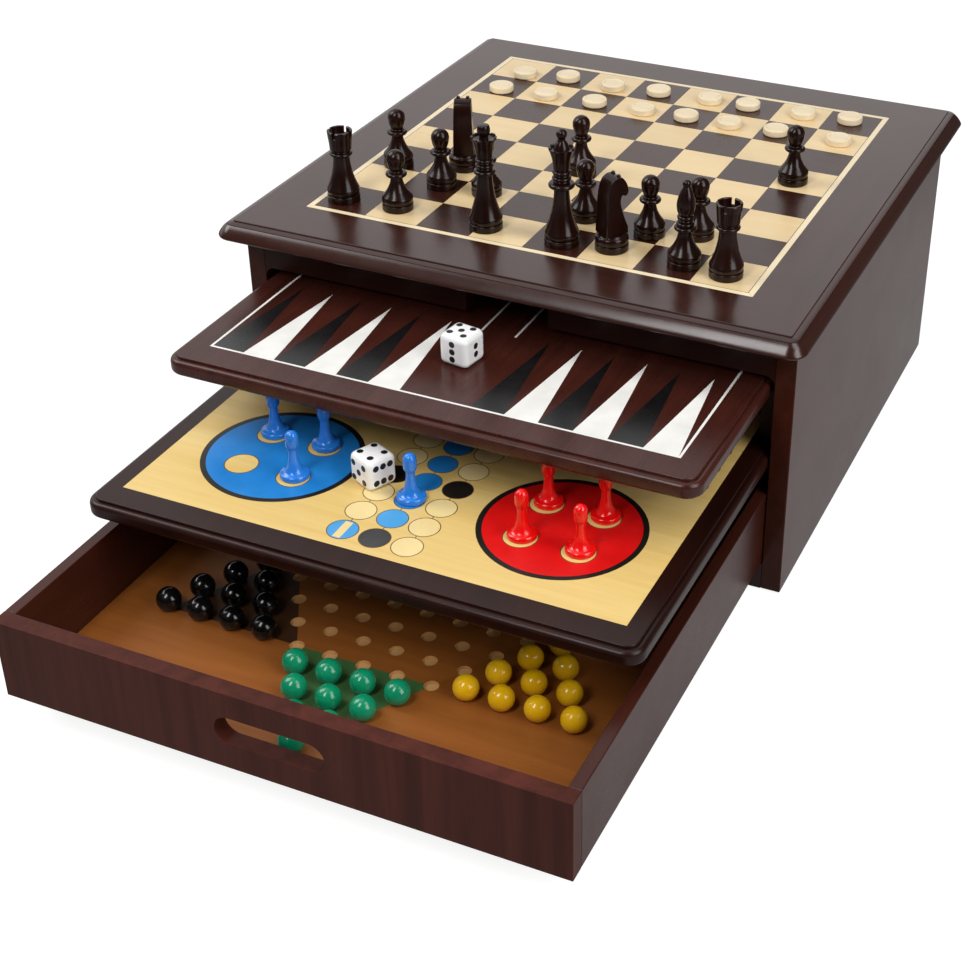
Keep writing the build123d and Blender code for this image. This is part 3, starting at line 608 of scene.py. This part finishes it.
# ---- ludo print: rings round the homes, outlined spots, and the track
ludo = {"middle": -155.8, "top": 78.7, "home": 72.0, "homeRadius": 38.4, "homeRing": 2.5, "spot": 14.0,
        "spotRadius": 8.1, "pitch": 16.1, "trackRadius": 6.95, "line": 0.42,
        # the band on a starting spot and half the width of a joining line
        "band": (1.9, 6.2), "join": 0.2,
        # how high over the field the print reaches
        "ringTop": 0.04, "discTop": 0.02, "bandSpan": (0.015, 0.035), "joinSpan": (0.005, 0.035),
        # the colour whose lane each arm carries, and the arm's turn from the front one
        "arms": {"blue": 0, "red": 90, "yellow": 180, "green": 270}}
signs = [(i, j) for i in (-1, 1) for j in (-1, 1)]


def homeSpots(sx, sy):
    # the four spots of the home in one corner of the field
    return [(sx * ludo["home"] + i * ludo["spot"], ludo["middle"] + sy * ludo["home"] + j * ludo["spot"])
            for i, j in signs]


ringTop = ludo["top"] + ludo["ringTop"]
bm = bmesh.new()
for sx, sy in signs:
    addRing(bm, sx * ludo["home"], ludo["middle"] + sy * ludo["home"], ringTop, ludo["homeRadius"] + 0.2,
            ludo["homeRadius"] - ludo["homeRing"], 72)
makePiece("ludoHomeRings", bm, "ludo_slide", [], "ludo_field_wood", paints["ringInk"])
bm = bmesh.new()
for sx, sy in signs:
    for x, y in homeSpots(sx, sy):
        addRing(bm, x, y, ringTop, ludo["spotRadius"] + 0.1, ludo["spotRadius"] - 0.35, 36)
spots = bmesh.new()
# the lane inks are the home inks painted lighter, a painted reflection
sheenLanes, homes = teamPaints["sheenLane"], teamPaints["home"]
spotInks = [paints["spotInk"], paints["ringInk"], paints["greyInk"], *sheenLanes.values(), *homes.values()]
inkOf = {"plain": 0, "black": 1, "grey": 2}


def spotLook(column, row, sheenLane, home):
    # what is printed on one spot of an arm, the rows counted from the board's edge; the starting spot and
    # the first spot of the home column take the lighter lane tone, a painted reflection
    if column == 0 and row > 1:
        return sheenLane if row == 2 else home
    if row == 1 and column < 1:
        return "grey" if column == 0 else sheenLane
    return "black" if row == 4 else "plain"


def addBar(bm, x, y, across, along, turn, span):
    # a printed bar in an arm of that turn, by its half sizes
    wide, tall = (across, along) if turn % 180 == 0 else (along, across)
    addSlab(bm, (x - wide, y - tall, ludo["top"] + span[0]), (x + wide, y + tall, ludo["top"] + span[1]))


for team, turn in ludo["arms"].items():
    sheenLane, home = "sheenLane" + team, "home" + team
    inkOf[sheenLane] = 3 + list(sheenLanes).index(team)
    inkOf[home] = 3 + len(sheenLanes) + list(homes).index(team)
    c, s = math.cos(math.radians(turn)), math.sin(math.radians(turn))
    for column in (-1, 0, 1):
        for row in range(1, 7):
            across, out = column * ludo["pitch"], (row - 8) * ludo["pitch"]
            x, y = across * c - out * s, ludo["middle"] + across * s + out * c
            addRing(bm, x, y, ringTop, ludo["trackRadius"] + ludo["line"], ludo["trackRadius"])
            radius = ludo["trackRadius"] + 0.1
            middle = Vector((x, y, ludo["top"] + ludo["discTop"] - printThick / 2)) * mm
            addDrum(spots, radius, radius, printThick, Matrix.Translation(middle), 32,
                    inkOf[spotLook(column, row, sheenLane, home)])
            if row == 1 and column == -1:       # the starting spot carries a plain band
                addBar(spots, x, y, *ludo["band"], turn, ludo["bandSpan"])
            if row < 6:                         # a short line joins it to the next spot of its column
                addBar(bm, x - ludo["pitch"] / 2 * s, y + ludo["pitch"] / 2 * c, ludo["join"],
                       ludo["pitch"] / 2 - ludo["trackRadius"], turn, ludo["joinSpan"])
makePiece("ludoOutlines", bm, "ludo_slide", [], "ludo_field_wood", paints["outlineInk"])
makePiece("ludoSpots", spots, "ludo_slide", [], "ludo_field_wood", *spotInks)
print("ludo print made")

# ---- dice: rounded cubes with inked pips
die = {"size": 16.0, "round": 3.1, "pip": 1.62, "pipTop": 1.57, "pipThick": 0.06, "pitch": 3.9}
pipPlaces = {
    1: [(0, 0)],
    2: [(0, -0.55), (0, 0.55)],
    3: [(0, -1), (0, 0), (0, 1)],
    4: [(-1, -1), (-1, 1), (1, -1), (1, 1)],
    5: [(-1, -1), (-1, 1), (0, 0), (1, -1), (1, 1)],
    6: [(-1, -1), (0, -1), (1, -1), (-1, 1), (0, 1), (1, 1)],
}


def makeDie(name, node, body, turn, faces):
    # faces: how many pips the front, right, back, left, top and bottom carry
    low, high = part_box(node)
    middle = (low + high) / 2
    bm = bmesh.new()
    half = die["size"] / 2
    addSlab(bm, (-half, -half, -half), (half, half, half))
    roundEdges(bm, bm.edges[:], die["round"], 6)
    looks = [(90, 0), (90, 90), (90, 180), (90, -90), (0, 0), (180, 0)]
    for (tilt, spin), count in zip(looks, faces):
        way = Matrix.Rotation(math.radians(spin), 4, "Z") @ Matrix.Rotation(math.radians(tilt), 4, "X")
        for i, j in pipPlaces[count]:
            place = way @ Matrix.Translation(Vector((i * die["pitch"], j * die["pitch"], half)) * mm)
            addDrum(bm, die["pip"], die["pipTop"], die["pipThick"], place, 24, 1)
    bmesh.ops.transform(bm, verts=bm.verts,
                        matrix=Matrix.Translation(middle) @ Matrix.Rotation(math.radians(turn), 4, "Z"))
    makePiece(name, bm, body, [node], "ivory_plastic", paints["diePlastic"],
              paints["pipInk"])


makeDie("backgammonDie", "backgammon_die", "backgammon_slide", -9, (3, 2, 4, 6, 5, 1))
makeDie("ludoDie", "ludo_die", "ludo_slide", -25, (5, 6, 2, 1, 4, 3))
print("dice made")

# ---- ludo pawns: flared foot, thin neck, barrel head on a small collar
ludoPawn = {"trackRow": -5, "shift": (0.2, 1.3), "head": 3.05,
            "outline": [(0, 0), (6.3, 0), (6.9, 0.6, 6.9, 0), (6.9, 1.6), (5.7, 2.9, 6.8, 2.7),
                        (3.6, 5.2, 4.2, 3.4), (2.5, 9.2, 2.9, 6.8), (2.1, 14.9, 2.15, 12.0),
                        (2.5, 15.4), (2.5, 15.8), (3.05, 16.6, 2.8, 15.9), (3.15, 19.0, 3.2, 17.8),
                        (3.05, 21.45, 3.15, 20.4)]}
pawnRun = runOf(ludoPawn["outline"], 5)
pawnRun += ballRun(*pawnRun[-1], ludoPawn["head"], 7)
for name, (sx, sy) in {"blue": (-1, -1), "red": (1, -1), "green": (-1, 1), "yellow": (1, 1)}.items():
    places = homeSpots(sx, sy)
    if name == "blue":      # one of them has left its home for the track
        places = places[1:] + [(0, ludo["middle"] + ludoPawn["trackRow"] * ludo["pitch"])]
    bm = bmesh.new()
    for x, y in places:
        addTurned(bm, pawnRun, x + ludoPawn["shift"][0], y + ludoPawn["shift"][1], ludo["top"], 32)
    makePiece("ludoPawns" + name.capitalize(), bm, "ludo_slide", ["ludo_pawns_" + name],
              name + "_plastic", teamPaints["pawn"][name])
print("ludo pawns made")

# ---- draughts: pale discs with a round rim and a turned groove
draught = {"square": 29.0, "field": 116.0, "table": 152.0,
           # where each one stands, in squares from the field's front left corner
           "front": [(0.57, 6.27), (1.54, 6.31), (2.58, 6.35), (3.61, 6.36), (4.50, 6.41), (5.39, 6.41),
                     (6.33, 6.43), (7.56, 6.48)],
           "back": [(0.66, 7.20), (1.55, 7.38), (2.58, 7.29), (3.53, 7.41), (4.62, 7.44), (5.41, 7.46),
                    (6.55, 7.47), (7.46, 7.59)]}
draughtRun = runOf([(0, 0), (6.1, 0), (7.1, 1.0, 7.1, 0), (7.1, 3.0), (6.1, 4.0, 7.1, 4.0), (5.3, 4.0),
                    (5.0, 3.75), (4.7, 4.0), (0, 4.0)], 4)


def onField(column, row):
    # a place on the chess field, counted in squares, in mm
    return (column * draught["square"] - draught["field"], row * draught["square"] - draught["field"],
            draught["table"])


bm = bmesh.new()
for column, row in draught["front"] + draught["back"]:
    addTurned(bm, draughtRun, *onField(column, row), 36)
makePiece("draughts", bm, "cabinet", ["draughts"], "pale_turned_wood", woods["draughtWood"])
print("draughts made")

# ---- chess men: what each one is turned to, in mm, and where it stands, in squares
chess = {
    "king": {"foot": 8.6, "flareTop": 29.6, "neck": 3.7, "at": [(4.54, 0.43)],
             "rings": [(6.5, 2.5), (4.1, 1.4), (4.7, 1.8), (4.0, 1.3), (4.6, 1.8)],
             "crown": {"tall": 11.4, "lip": 1.2}, "bends": 6, "ball": 2.7,
             # what stands on the neck, or in the crown, from its rim up
             "top": [(5.2, -0.1), (4.9, -1.0), (4.0, -0.7), (1.9, 3.8, 3.4, 2.0), (1.9, 4.9)]},
    "queen": {"foot": 8.4, "flareTop": 29.0, "neck": 3.8, "at": [(3.12, 0.43)],
              "rings": [(5.4, 2.4), (4.1, 1.3), (4.6, 1.7), (4.0, 1.1), (4.5, 1.7)],
              "crown": {"tall": 11.0, "lip": 1.0}, "bends": 5,
              "top": [(5.4, -0.1), (5.1, -0.9), (2.4, -1.2), (2.1, 0.3), (3.2, 2.9, 2.9, 1.0),
                      (2.9, 5.4, 3.3, 4.4), (2.3, 6.05, 2.8, 6.0), (0, 6.1)]},
    "bishop": {"foot": 8.2, "flareTop": 18.6, "neck": 3.2, "at": [(6.71, 0.50)],
               "rings": [(5.4, 2.2), (4.4, 2.0), (3.7, 1.5), (4.1, 1.9)], "bends": 9, "ball": 2.1,
               "top": [(3.2, 0), (4.5, 5.2, 4.4, 1.8), (1.7, 14.6, 4.3, 9.4)]},
    "knight": {"foot": 8.3, "flareTop": 9.0, "neck": 6.6, "rings": [], "bends": 1,
               "at": [(1.64, 2.54), (5.39, 0.57)], "top": [(6.6, 0), (0, 0)]},
    "rook": {"foot": 8.3, "flareTop": 24.4, "neck": 4.2, "at": [(0.33, 0.44), (7.47, 0.42)],
             "rings": [(5.8, 1.9), (4.9, 0.8)], "bends": 6,
             "top": [(4.2, 0), (5.5, 0.7, 5.2, 0.1), (6.1, 7.2, 5.6, 3.6), (5.0, 7.2), (4.9, 6.4),
                     (0, 6.4)]},
    "pawn": {"foot": 7.9, "flareTop": 17.9, "neck": 2.9, "rings": [(5.4, 2.3), (3.6, 0.8)],
             "bends": 6, "ball": 4.65, "top": [(2.9, 0), (4.65, 6.15, 4.4, 2.4)],
             "at": [(1.38, 0.49), (0.49, 2.14), (1.64, 1.64), (2.52, 1.67), (4.52, 1.47), (3.66, 3.24),
                    (5.77, 1.32), (6.55, 1.60), (7.32, 4.41)]},
}
scallop = {"from": 4.8, "reach": 0.3, "count": 8, "deep": 1.0}
merlon = {"gap": 18, "outline": [(5.0, 6.9), (6.08, 6.9), (6.4, 10.2), (6.1, 10.6), (5.3, 10.6),
                                 (5.0, 10.3)]}


def raised(outline, z):
    # every second number of a point is a height
    return [tuple(value + z * (k % 2) for k, value in enumerate(point)) for point in outline]


def stemRun(man):
    # foot drum, groove, swelling, hollow flare, and rings one on the other
    foot, neck, top = man["foot"], man["neck"], man["flareTop"]
    shoulder = foot * 0.94
    run = runOf([(0, 0), (foot - 0.5, 0), (foot, 0.5, foot, 0), (foot, 3.1),
                 (foot - 0.5, 3.6, foot, 3.6), (foot - 0.9, 3.65), (foot - 0.9, 4.05),
                 (foot - 0.3, 4.15), (shoulder, 7.5, foot + 0.35, 6.3),
                 (neck, top, neck + (shoulder - neck) * 0.02, 7.5 + (top - 7.5) * 0.46)], 8)
    z = top
    for radius, thick in man["rings"]:
        half = thick / 2
        run += [(radius - half + half * math.sin(a), z + half - half * math.cos(a))
                for a in [math.pi * k / 6 for k in range(7)]]
        z += thick
    return run + [(neck, z)] * bool(man["rings"]), z


def turnMan(bm, man, x, y, z):
    # turns a man on the lathe, and gives the height of its neck or its crown's rim
    run, up = stemRun(man)
    if "crown" in man:      # it flares, and is hollow inside its lip
        tall, lip = man["crown"]["tall"], man["crown"]["lip"]
        run += runOf([(man["neck"], up), (4.0, up + 0.6), (6.2, up + tall - 0.7, 4.2, up + tall * 0.5),
                      (6.4, up + tall), (6.4 - lip, up + tall - 0.1)], 8)[1:]
        up += tall
    run += runOf(raised(man["top"], up), man["bends"])[1:]
    if "ball" in man:
        run += ballRun(*run[-1], man["ball"])
    addTurned(bm, run, x, y, z, 64 if "crown" in man else 40)
    return up


def pressScallops(bm, x, y, rim):
    # presses notches into the upper edge of a crown
    for vert in bm.verts:
        across, along = vert.co.x / mm - x, vert.co.y / mm - y
        if math.hypot(across, along) > scallop["from"] and abs(vert.co.z / mm - rim) < scallop["reach"]:
            press = max(0.0, math.cos(scallop["count"] * math.atan2(along, across))) ** 2
            bmesh.ops.translate(bm, verts=[vert], vec=(0, 0, -scallop["deep"] * press * mm))


def addMerlons(bm, x, y, z, up):
    # four merlons on a rook's crown, each spun through less than a quarter turn
    gap = math.radians(merlon["gap"])
    base = Vector((x, y, z)) * mm
    for quarter in range(4):
        turn = Matrix.Rotation(quarter * math.pi / 2 + gap / 2, 4, "Z")
        verts = [bm.verts.new(base + turn @ Vector((r * mm, 0, h * mm)))
                 for r, h in raised(merlon["outline"], up)]
        face = bm.faces.new(verts)
        bmesh.ops.spin(bm, geom=[face] + face.edges[:] + verts, cent=base, axis=(0, 0, 1),
                       dvec=(0, 0, 0), angle=math.pi / 2 - gap, steps=8, use_merge=False,
                       use_duplicate=False)


knightHead = {
    "thick": 10.8,
    # the silhouette seen from the side, nose to the right: chest, throat, muzzle, brow, poll, mane
    "outline": [(6.2, 9.0), (6.0, 12.6), (1.9, 25.4, 3.0, 19.6), (2.7, 28.9, 1.9, 27.6),
                (4.3, 28.4, 3.4, 29.1), (6.2, 29.0, 5.6, 28.2), (6.8, 30.8, 6.8, 29.7), (6.3, 33.4),
                (4.4, 36.6, 5.6, 35.2), (0.4, 38.4, 3.0, 38.6), (-3.4, 36.2, -1.8, 38.2),
                (-5.4, 29.0, -4.9, 33.8), (-6.0, 18.0, -5.9, 23.5), (-6.2, 9.0)],
    "turns": (112, 55), "arris": 2.3,
    # it narrows upward from the height slimFrom, and more from noseFrom to the nose
    "slimFrom": 12, "slimOver": 26, "slimBy": 0.16, "noseFrom": 2, "noseOver": 5, "noseBy": 0.2,
    "ear": {"across": 2.5, "along": 1.8, "foot": 36.4, "radius": 1.7, "tip": 0.8, "tall": 2.9},
}


def shareOf(value, start, over):
    return min(max((value - start) / over, 0), 1)


def addHead(bm, x, y, z, turn):
    head, ear = knightHead, knightHead["ear"]
    old = set(bm.verts)
    thick = head["thick"] * mm
    verts = [bm.verts.new((px * mm, -thick / 2, pz * mm)) for px, pz in runOf(head["outline"], 5)]
    thicken(bm, [bm.faces.new(verts)], (0, thick, 0))
    for v in bm.verts:
        if v not in old:
            high = shareOf(v.co.z / mm, head["slimFrom"], head["slimOver"])
            nose = shareOf(v.co.x / mm, head["noseFrom"], head["noseOver"])
            slim = 1 - head["slimBy"] * high - head["noseBy"] * nose * high
            bmesh.ops.scale(bm, vec=(1, slim, 1), verts=[v])
    rims = [e for e in bm.edges if e.verts[0] not in old and e.verts[1] not in old
            and e.verts[0].co.y * e.verts[1].co.y > 0]
    roundEdges(bm, rims, head["arris"], 2)
    for side in (-1, 1):
        place = Vector((ear["along"], side * ear["across"], ear["foot"] + ear["tall"] / 2)) * mm
        addDrum(bm, ear["radius"], ear["tip"], ear["tall"], Matrix.Translation(place), 16)
    made = [v for v in bm.verts if v not in old]
    bmesh.ops.transform(bm, verts=made, matrix=Matrix.Translation(Vector((x, y, z)) * mm)
                        @ Matrix.Rotation(math.radians(turn), 4, "Z"))


for kind, man in chess.items():
    many = "s" if len(man["at"]) > 1 else ""
    bm = bmesh.new()
    for k, (column, row) in enumerate(man["at"]):
        x, y, z = onField(column, row)
        up = turnMan(bm, man, x, y, z)
        if "crown" in man:
            pressScallops(bm, x, y, z + up)
        if kind == "rook":
            addMerlons(bm, x, y, z, up)
        if kind == "knight":
            addHead(bm, x, y, z, knightHead["turns"][k])
    makePiece("chess" + kind.capitalize() + many, bm, "cabinet", ["chess_" + kind + many],
              "dark_lacquered_wood", woods["chessManWood"], sharp=42)
print("chess men made")

# ---- drawer
drawer = {"front": -361.3, "wall": 8.2, "bottom": 14.9, "top": 55.8, "half": 136.6, "edge": 0.35,
          "sideEdge": 0.5, "slotUp": 20.7, "slotLength": 52.6, "slotHeight": 14.6, "slotPoints": 32,
          "sharp": 0.7}


def addOutline(bm, points):
    # a closed run of edges in the plane of the drawer's face
    verts = [bm.verts.new((x * mm, drawer["front"] * mm, z * mm)) for x, z in points]
    return [bm.edges.new((verts[k], verts[(k + 1) % len(verts)])) for k in range(len(verts))]


bm = bmesh.new()
half, lower, upper = drawer["half"], drawer["bottom"], drawer["top"]
rim = addOutline(bm, [(-half, lower), (half, lower), (half, upper), (-half, upper)])
slotZ, slotR = lower + drawer["slotUp"], drawer["slotHeight"] / 2
slotX = drawer["slotLength"] / 2 - slotR
turns = [2 * math.pi * (k + 0.5) / drawer["slotPoints"] for k in range(drawer["slotPoints"])]
hole = addOutline(bm, [(math.copysign(slotX, math.cos(a)) + slotR * math.cos(a),
                        slotZ + slotR * math.sin(a)) for a in turns])
bmesh.ops.triangle_fill(bm, use_beauty=True, use_dissolve=False, edges=rim + hole)
thicken(bm, bm.faces[:], (0, drawer["wall"] * mm, 0))
bmesh.ops.recalc_face_normals(bm, faces=bm.faces)
sharpRims = [e for e in bm.edges if len(e.link_faces) == 2 and e.calc_face_angle() > drawer["sharp"]]
roundEdges(bm, sharpRims, drawer["edge"], 3)
makePiece("drawerFront", bm, "drawer", ["drawer_front"], "drawer_wood", woods["drawerWood"])
for name in ("SideLeft", "SideRight", "Back"):
    node = "drawer_" + name.replace("Side", "side_").lower()
    makePanel("drawer" + name, node, "drawer", "drawer_wood", woods["drawerSideWood"], drawer["sideEdge"])

# the floor: tan wood, paler where the dimples are drilled, painted in the star's coloured corners
star = {"middle": -225.95, "pitch": 17.215, "floor": 20.0, "drilled": 0.12}
star["row"] = star["pitch"] * math.sqrt(3) / 2
material, tree, shader, place = startMaterial("drawerFloorWood")
grain = useGroup(tree, woodGrain, -600, 0, Vector=place, Dark=colour(128, 72, 26),
                 Light=colour(156, 92, 38), Figure=0.6, Pores=0.25)
tint = grain.outputs["Color"]
# each corner: its middle and base, counted in marbles from the star's middle, its way and its paint
starPaints = {"green": (0, -4, -1, (16, 98, 54)), "black": (-4, -4, 1, (20, 15, 12)),
              "yellow": (4, -4, 1, (132, 76, 22)), "red": (0, 4, 1, (130, 24, 20)),
              "white": (-4, 4, -1, (214, 200, 170)), "blue": (4, 4, -1, (24, 60, 130))}
for k, (across, rows, way, paint) in enumerate(starPaints.values()):
    corner = useGroup(tree, starCorner, -600, -250 - 180 * k, Vector=place,
                      Middle=across * star["pitch"] * mm, Way=float(way),
                      Base=(star["middle"] + rows * star["row"]) * mm, Depth=4 * star["row"] * mm)
    cover = calc(tree, -350, -250 - 180 * k, "MULTIPLY", corner.outputs["Mask"], 0.85)
    tint = blendColour(tree, -300 + 90 * k, 100, cover, tint, colour(*paint))
parts = addNode(tree, "ShaderNodeSeparateXYZ", -600, 300)
link(tree, place, parts.inputs[0])
drilled = calc(tree, 300, 350, "LESS_THAN", parts.outputs[2], (star["floor"] - star["drilled"]) * mm)
tint = blendColour(tree, 500, 200, drilled, tint, colour(206, 160, 104))
link(tree, tint, shader.inputs["Base Color"])
addGloss(tree, shader, place, 0.34, 0.46)
addBump(tree, shader, grain.outputs["Height"], 0.1, 0.00005)
dressNode("drawer_floor", material)
print("drawer made")

# ---- marbles
marble = {"radius": 6.0, "height": 24.92,
          "rows": [1, 2, 3, 4, 13, 12, 11, 10, 9, 10, 11, 12, 13, 4, 3, 2, 1]}


def starPlace(row, k):
    # the k-th dimple of a row, the rows counted from the front
    across = k - (marble["rows"][row] - 1) / 2
    return across * star["pitch"], star["middle"] + (row - 8) * star["row"]


def sideCorner(rows, fromLeft):
    # ten dimples at one end of four rows, one fewer in each row
    return [starPlace(row, k if fromLeft else marble["rows"][row] - 1 - k)
            for fewer, row in enumerate(rows) for k in range(4 - fewer)]


marbleHomes = {
    "green": [starPlace(row, k) for row in range(4) for k in range(row + 1)],
    "black": sideCorner((4, 5, 6, 7), True),
    "yellow": sideCorner((4, 5, 6, 7), False),
    "red": [starPlace(16 - row, k) for row in range(4) for k in range(row + 1)],
    "white": sideCorner((12, 11, 10, 9), True),
    "blue": sideCorner((12, 11, 10, 9), False),
}
for name, places in marbleHomes.items():
    bm = bmesh.new()
    for x, y in places:
        bmesh.ops.create_uvsphere(bm, u_segments=28, v_segments=16, radius=marble["radius"] * mm,
                                  matrix=Matrix.Translation(Vector((x, y, marble["height"])) * mm))
    makePiece("marbles" + name.capitalize(), bm, "drawer", ["marbles_" + name], name + "_glass",
              marbleGlasses[name])
print("marbles made")

# ---- floor, world, lamps and camera
studioFloor = {"size": 6.0, "drop": 0.0004, "tone": 0.32, "seen": 0.85,
               # how bright polished surfaces see it: between two distances, between two strengths
               "mirrored": (0.24, 0.62, 0.3, 0.03)}
bm = bmesh.new()
bmesh.ops.create_grid(bm, x_segments=1, y_segments=1, size=studioFloor["size"])
mesh = bpy.data.meshes.new("studioFloor")
bm.to_mesh(mesh)
bm.free()
floor = bpy.data.objects.new("studioFloor", mesh)
scene.collection.objects.link(floor)
floor.location = (0, 0, -studioFloor["drop"])
material, tree, shader, place = startMaterial("studioFloorPaint")
shader.inputs["Base Color"].default_value = (*[studioFloor["tone"]] * 3, 1)
shader.inputs["Roughness"].default_value = 0.9
shader.inputs["Specular IOR Level"].default_value = 0.0
rays = addNode(tree, "ShaderNodeLightPath", 0, 400)
mirrored = calc(tree, 200, 300, "MAXIMUM", rays.outputs["Is Glossy Ray"],
                rays.outputs["Is Transmission Ray"])
shader.inputs["Emission Color"].default_value = (1, 1, 1, 1)
away = addNode(tree, "ShaderNodeVectorMath", -200, 100, operation="LENGTH")
link(tree, place, away.inputs[0])
near = remap(tree, 0, 100, away.outputs["Value"], *studioFloor["mirrored"])
direct = calc(tree, 400, 400, "MULTIPLY", rays.outputs["Is Camera Ray"], studioFloor["seen"])
strength = calc(tree, 600, 400, "ADD", direct, calc(tree, 400, 300, "MULTIPLY", mirrored, near))
link(tree, strength, shader.inputs["Emission Strength"])
mesh.materials.append(material)

world = bpy.data.worlds.new("studio")
scene.world = world
world.use_nodes = True
tree = world.node_tree
tree.nodes.clear()
output = addNode(tree, "ShaderNodeOutputWorld", 600, 0)
sky = addNode(tree, "ShaderNodeBackground", 400, 0)
sky.inputs["Color"].default_value = (1, 1, 1, 1)
rays = addNode(tree, "ShaderNodeLightPath", -600, 0)
way = addNode(tree, "ShaderNodeSeparateXYZ", -600, -300)
link(tree, addNode(tree, "ShaderNodeTexCoord", -800, -300).outputs["Generated"], way.inputs[0])
# polished surfaces see a bright wall to the back left and dark surroundings elsewhere
wall = calc(tree, -200, -300, "MULTIPLY", remap(tree, -400, -250, way.outputs[0], 0.0, 0.12, 1.0, 0.08),
            remap(tree, -400, -450, way.outputs[1], -0.3, 0.0, 0.1, 1.0))
clear = calc(tree, -200, 100, "MAXIMUM", rays.outputs["Is Camera Ray"],
             rays.outputs["Is Transmission Ray"])
mirrored = calc(tree, 0, -100, "MULTIPLY", rays.outputs["Is Glossy Ray"], wall)
seen = calc(tree, 100, 0, "MAXIMUM", clear, mirrored)
diffuse = calc(tree, 100, -200, "MULTIPLY", rays.outputs["Is Diffuse Ray"], 0.2)
link(tree, calc(tree, 250, 0, "MAXIMUM", seen, diffuse), sky.inputs["Strength"])
link(tree, sky.outputs[0], output.inputs[0])

studioLamps = {
    "frontBox": {"at": (-0.17, -0.97, 1.1), "aim": (0, -0.15, 0.12), "size": (0.3, 0.7), "watts": 6.5},
    "rightBox": {"at": (1.25, -0.55, 0.75), "aim": (0, -0.1, 0.12), "size": (0.7, 0.8), "watts": 8.5},
    "leftBox": {"at": (-1.0, -0.3, 1.05), "aim": (0, -0.1, 0.12), "size": (0.6, 0.8), "watts": 8.0},
    "topBox": {"at": (0.85, -0.2, 1.25), "aim": (0, -0.1, 0.1), "size": (0.6, 0.8), "watts": 5.5},
}
for name, lamp in studioLamps.items():
    data = bpy.data.lights.new(name, "AREA")
    data.shape = "RECTANGLE"
    data.size, data.size_y = lamp["size"]
    data.energy = lamp["watts"]
    holder = bpy.data.objects.new(name, data)
    scene.collection.objects.link(holder)
    holder.location = lamp["at"]
    way = Vector(lamp["aim"]) - Vector(lamp["at"])
    holder.rotation_euler = way.to_track_quat("-Z", "Y").to_euler()

view = {"at": (0.3341, -0.8074, 0.5301), "turn": (1.0262549, -0.00954815, 0.40541552), "lens": 65.094,
        "shift": (-0.11843, -0.08805)}
data = bpy.data.cameras.new("viewCamera")
data.sensor_width = 36.0
data.lens = view["lens"]
data.shift_x, data.shift_y = view["shift"]
data.clip_start, data.clip_end = 0.05, 30
camera = bpy.data.objects.new("viewCamera", data)
scene.collection.objects.link(camera)
camera.location = view["at"]
camera.rotation_euler = view["turn"]
scene.camera = camera
scene.view_settings.view_transform = "Standard"
print("studio made")
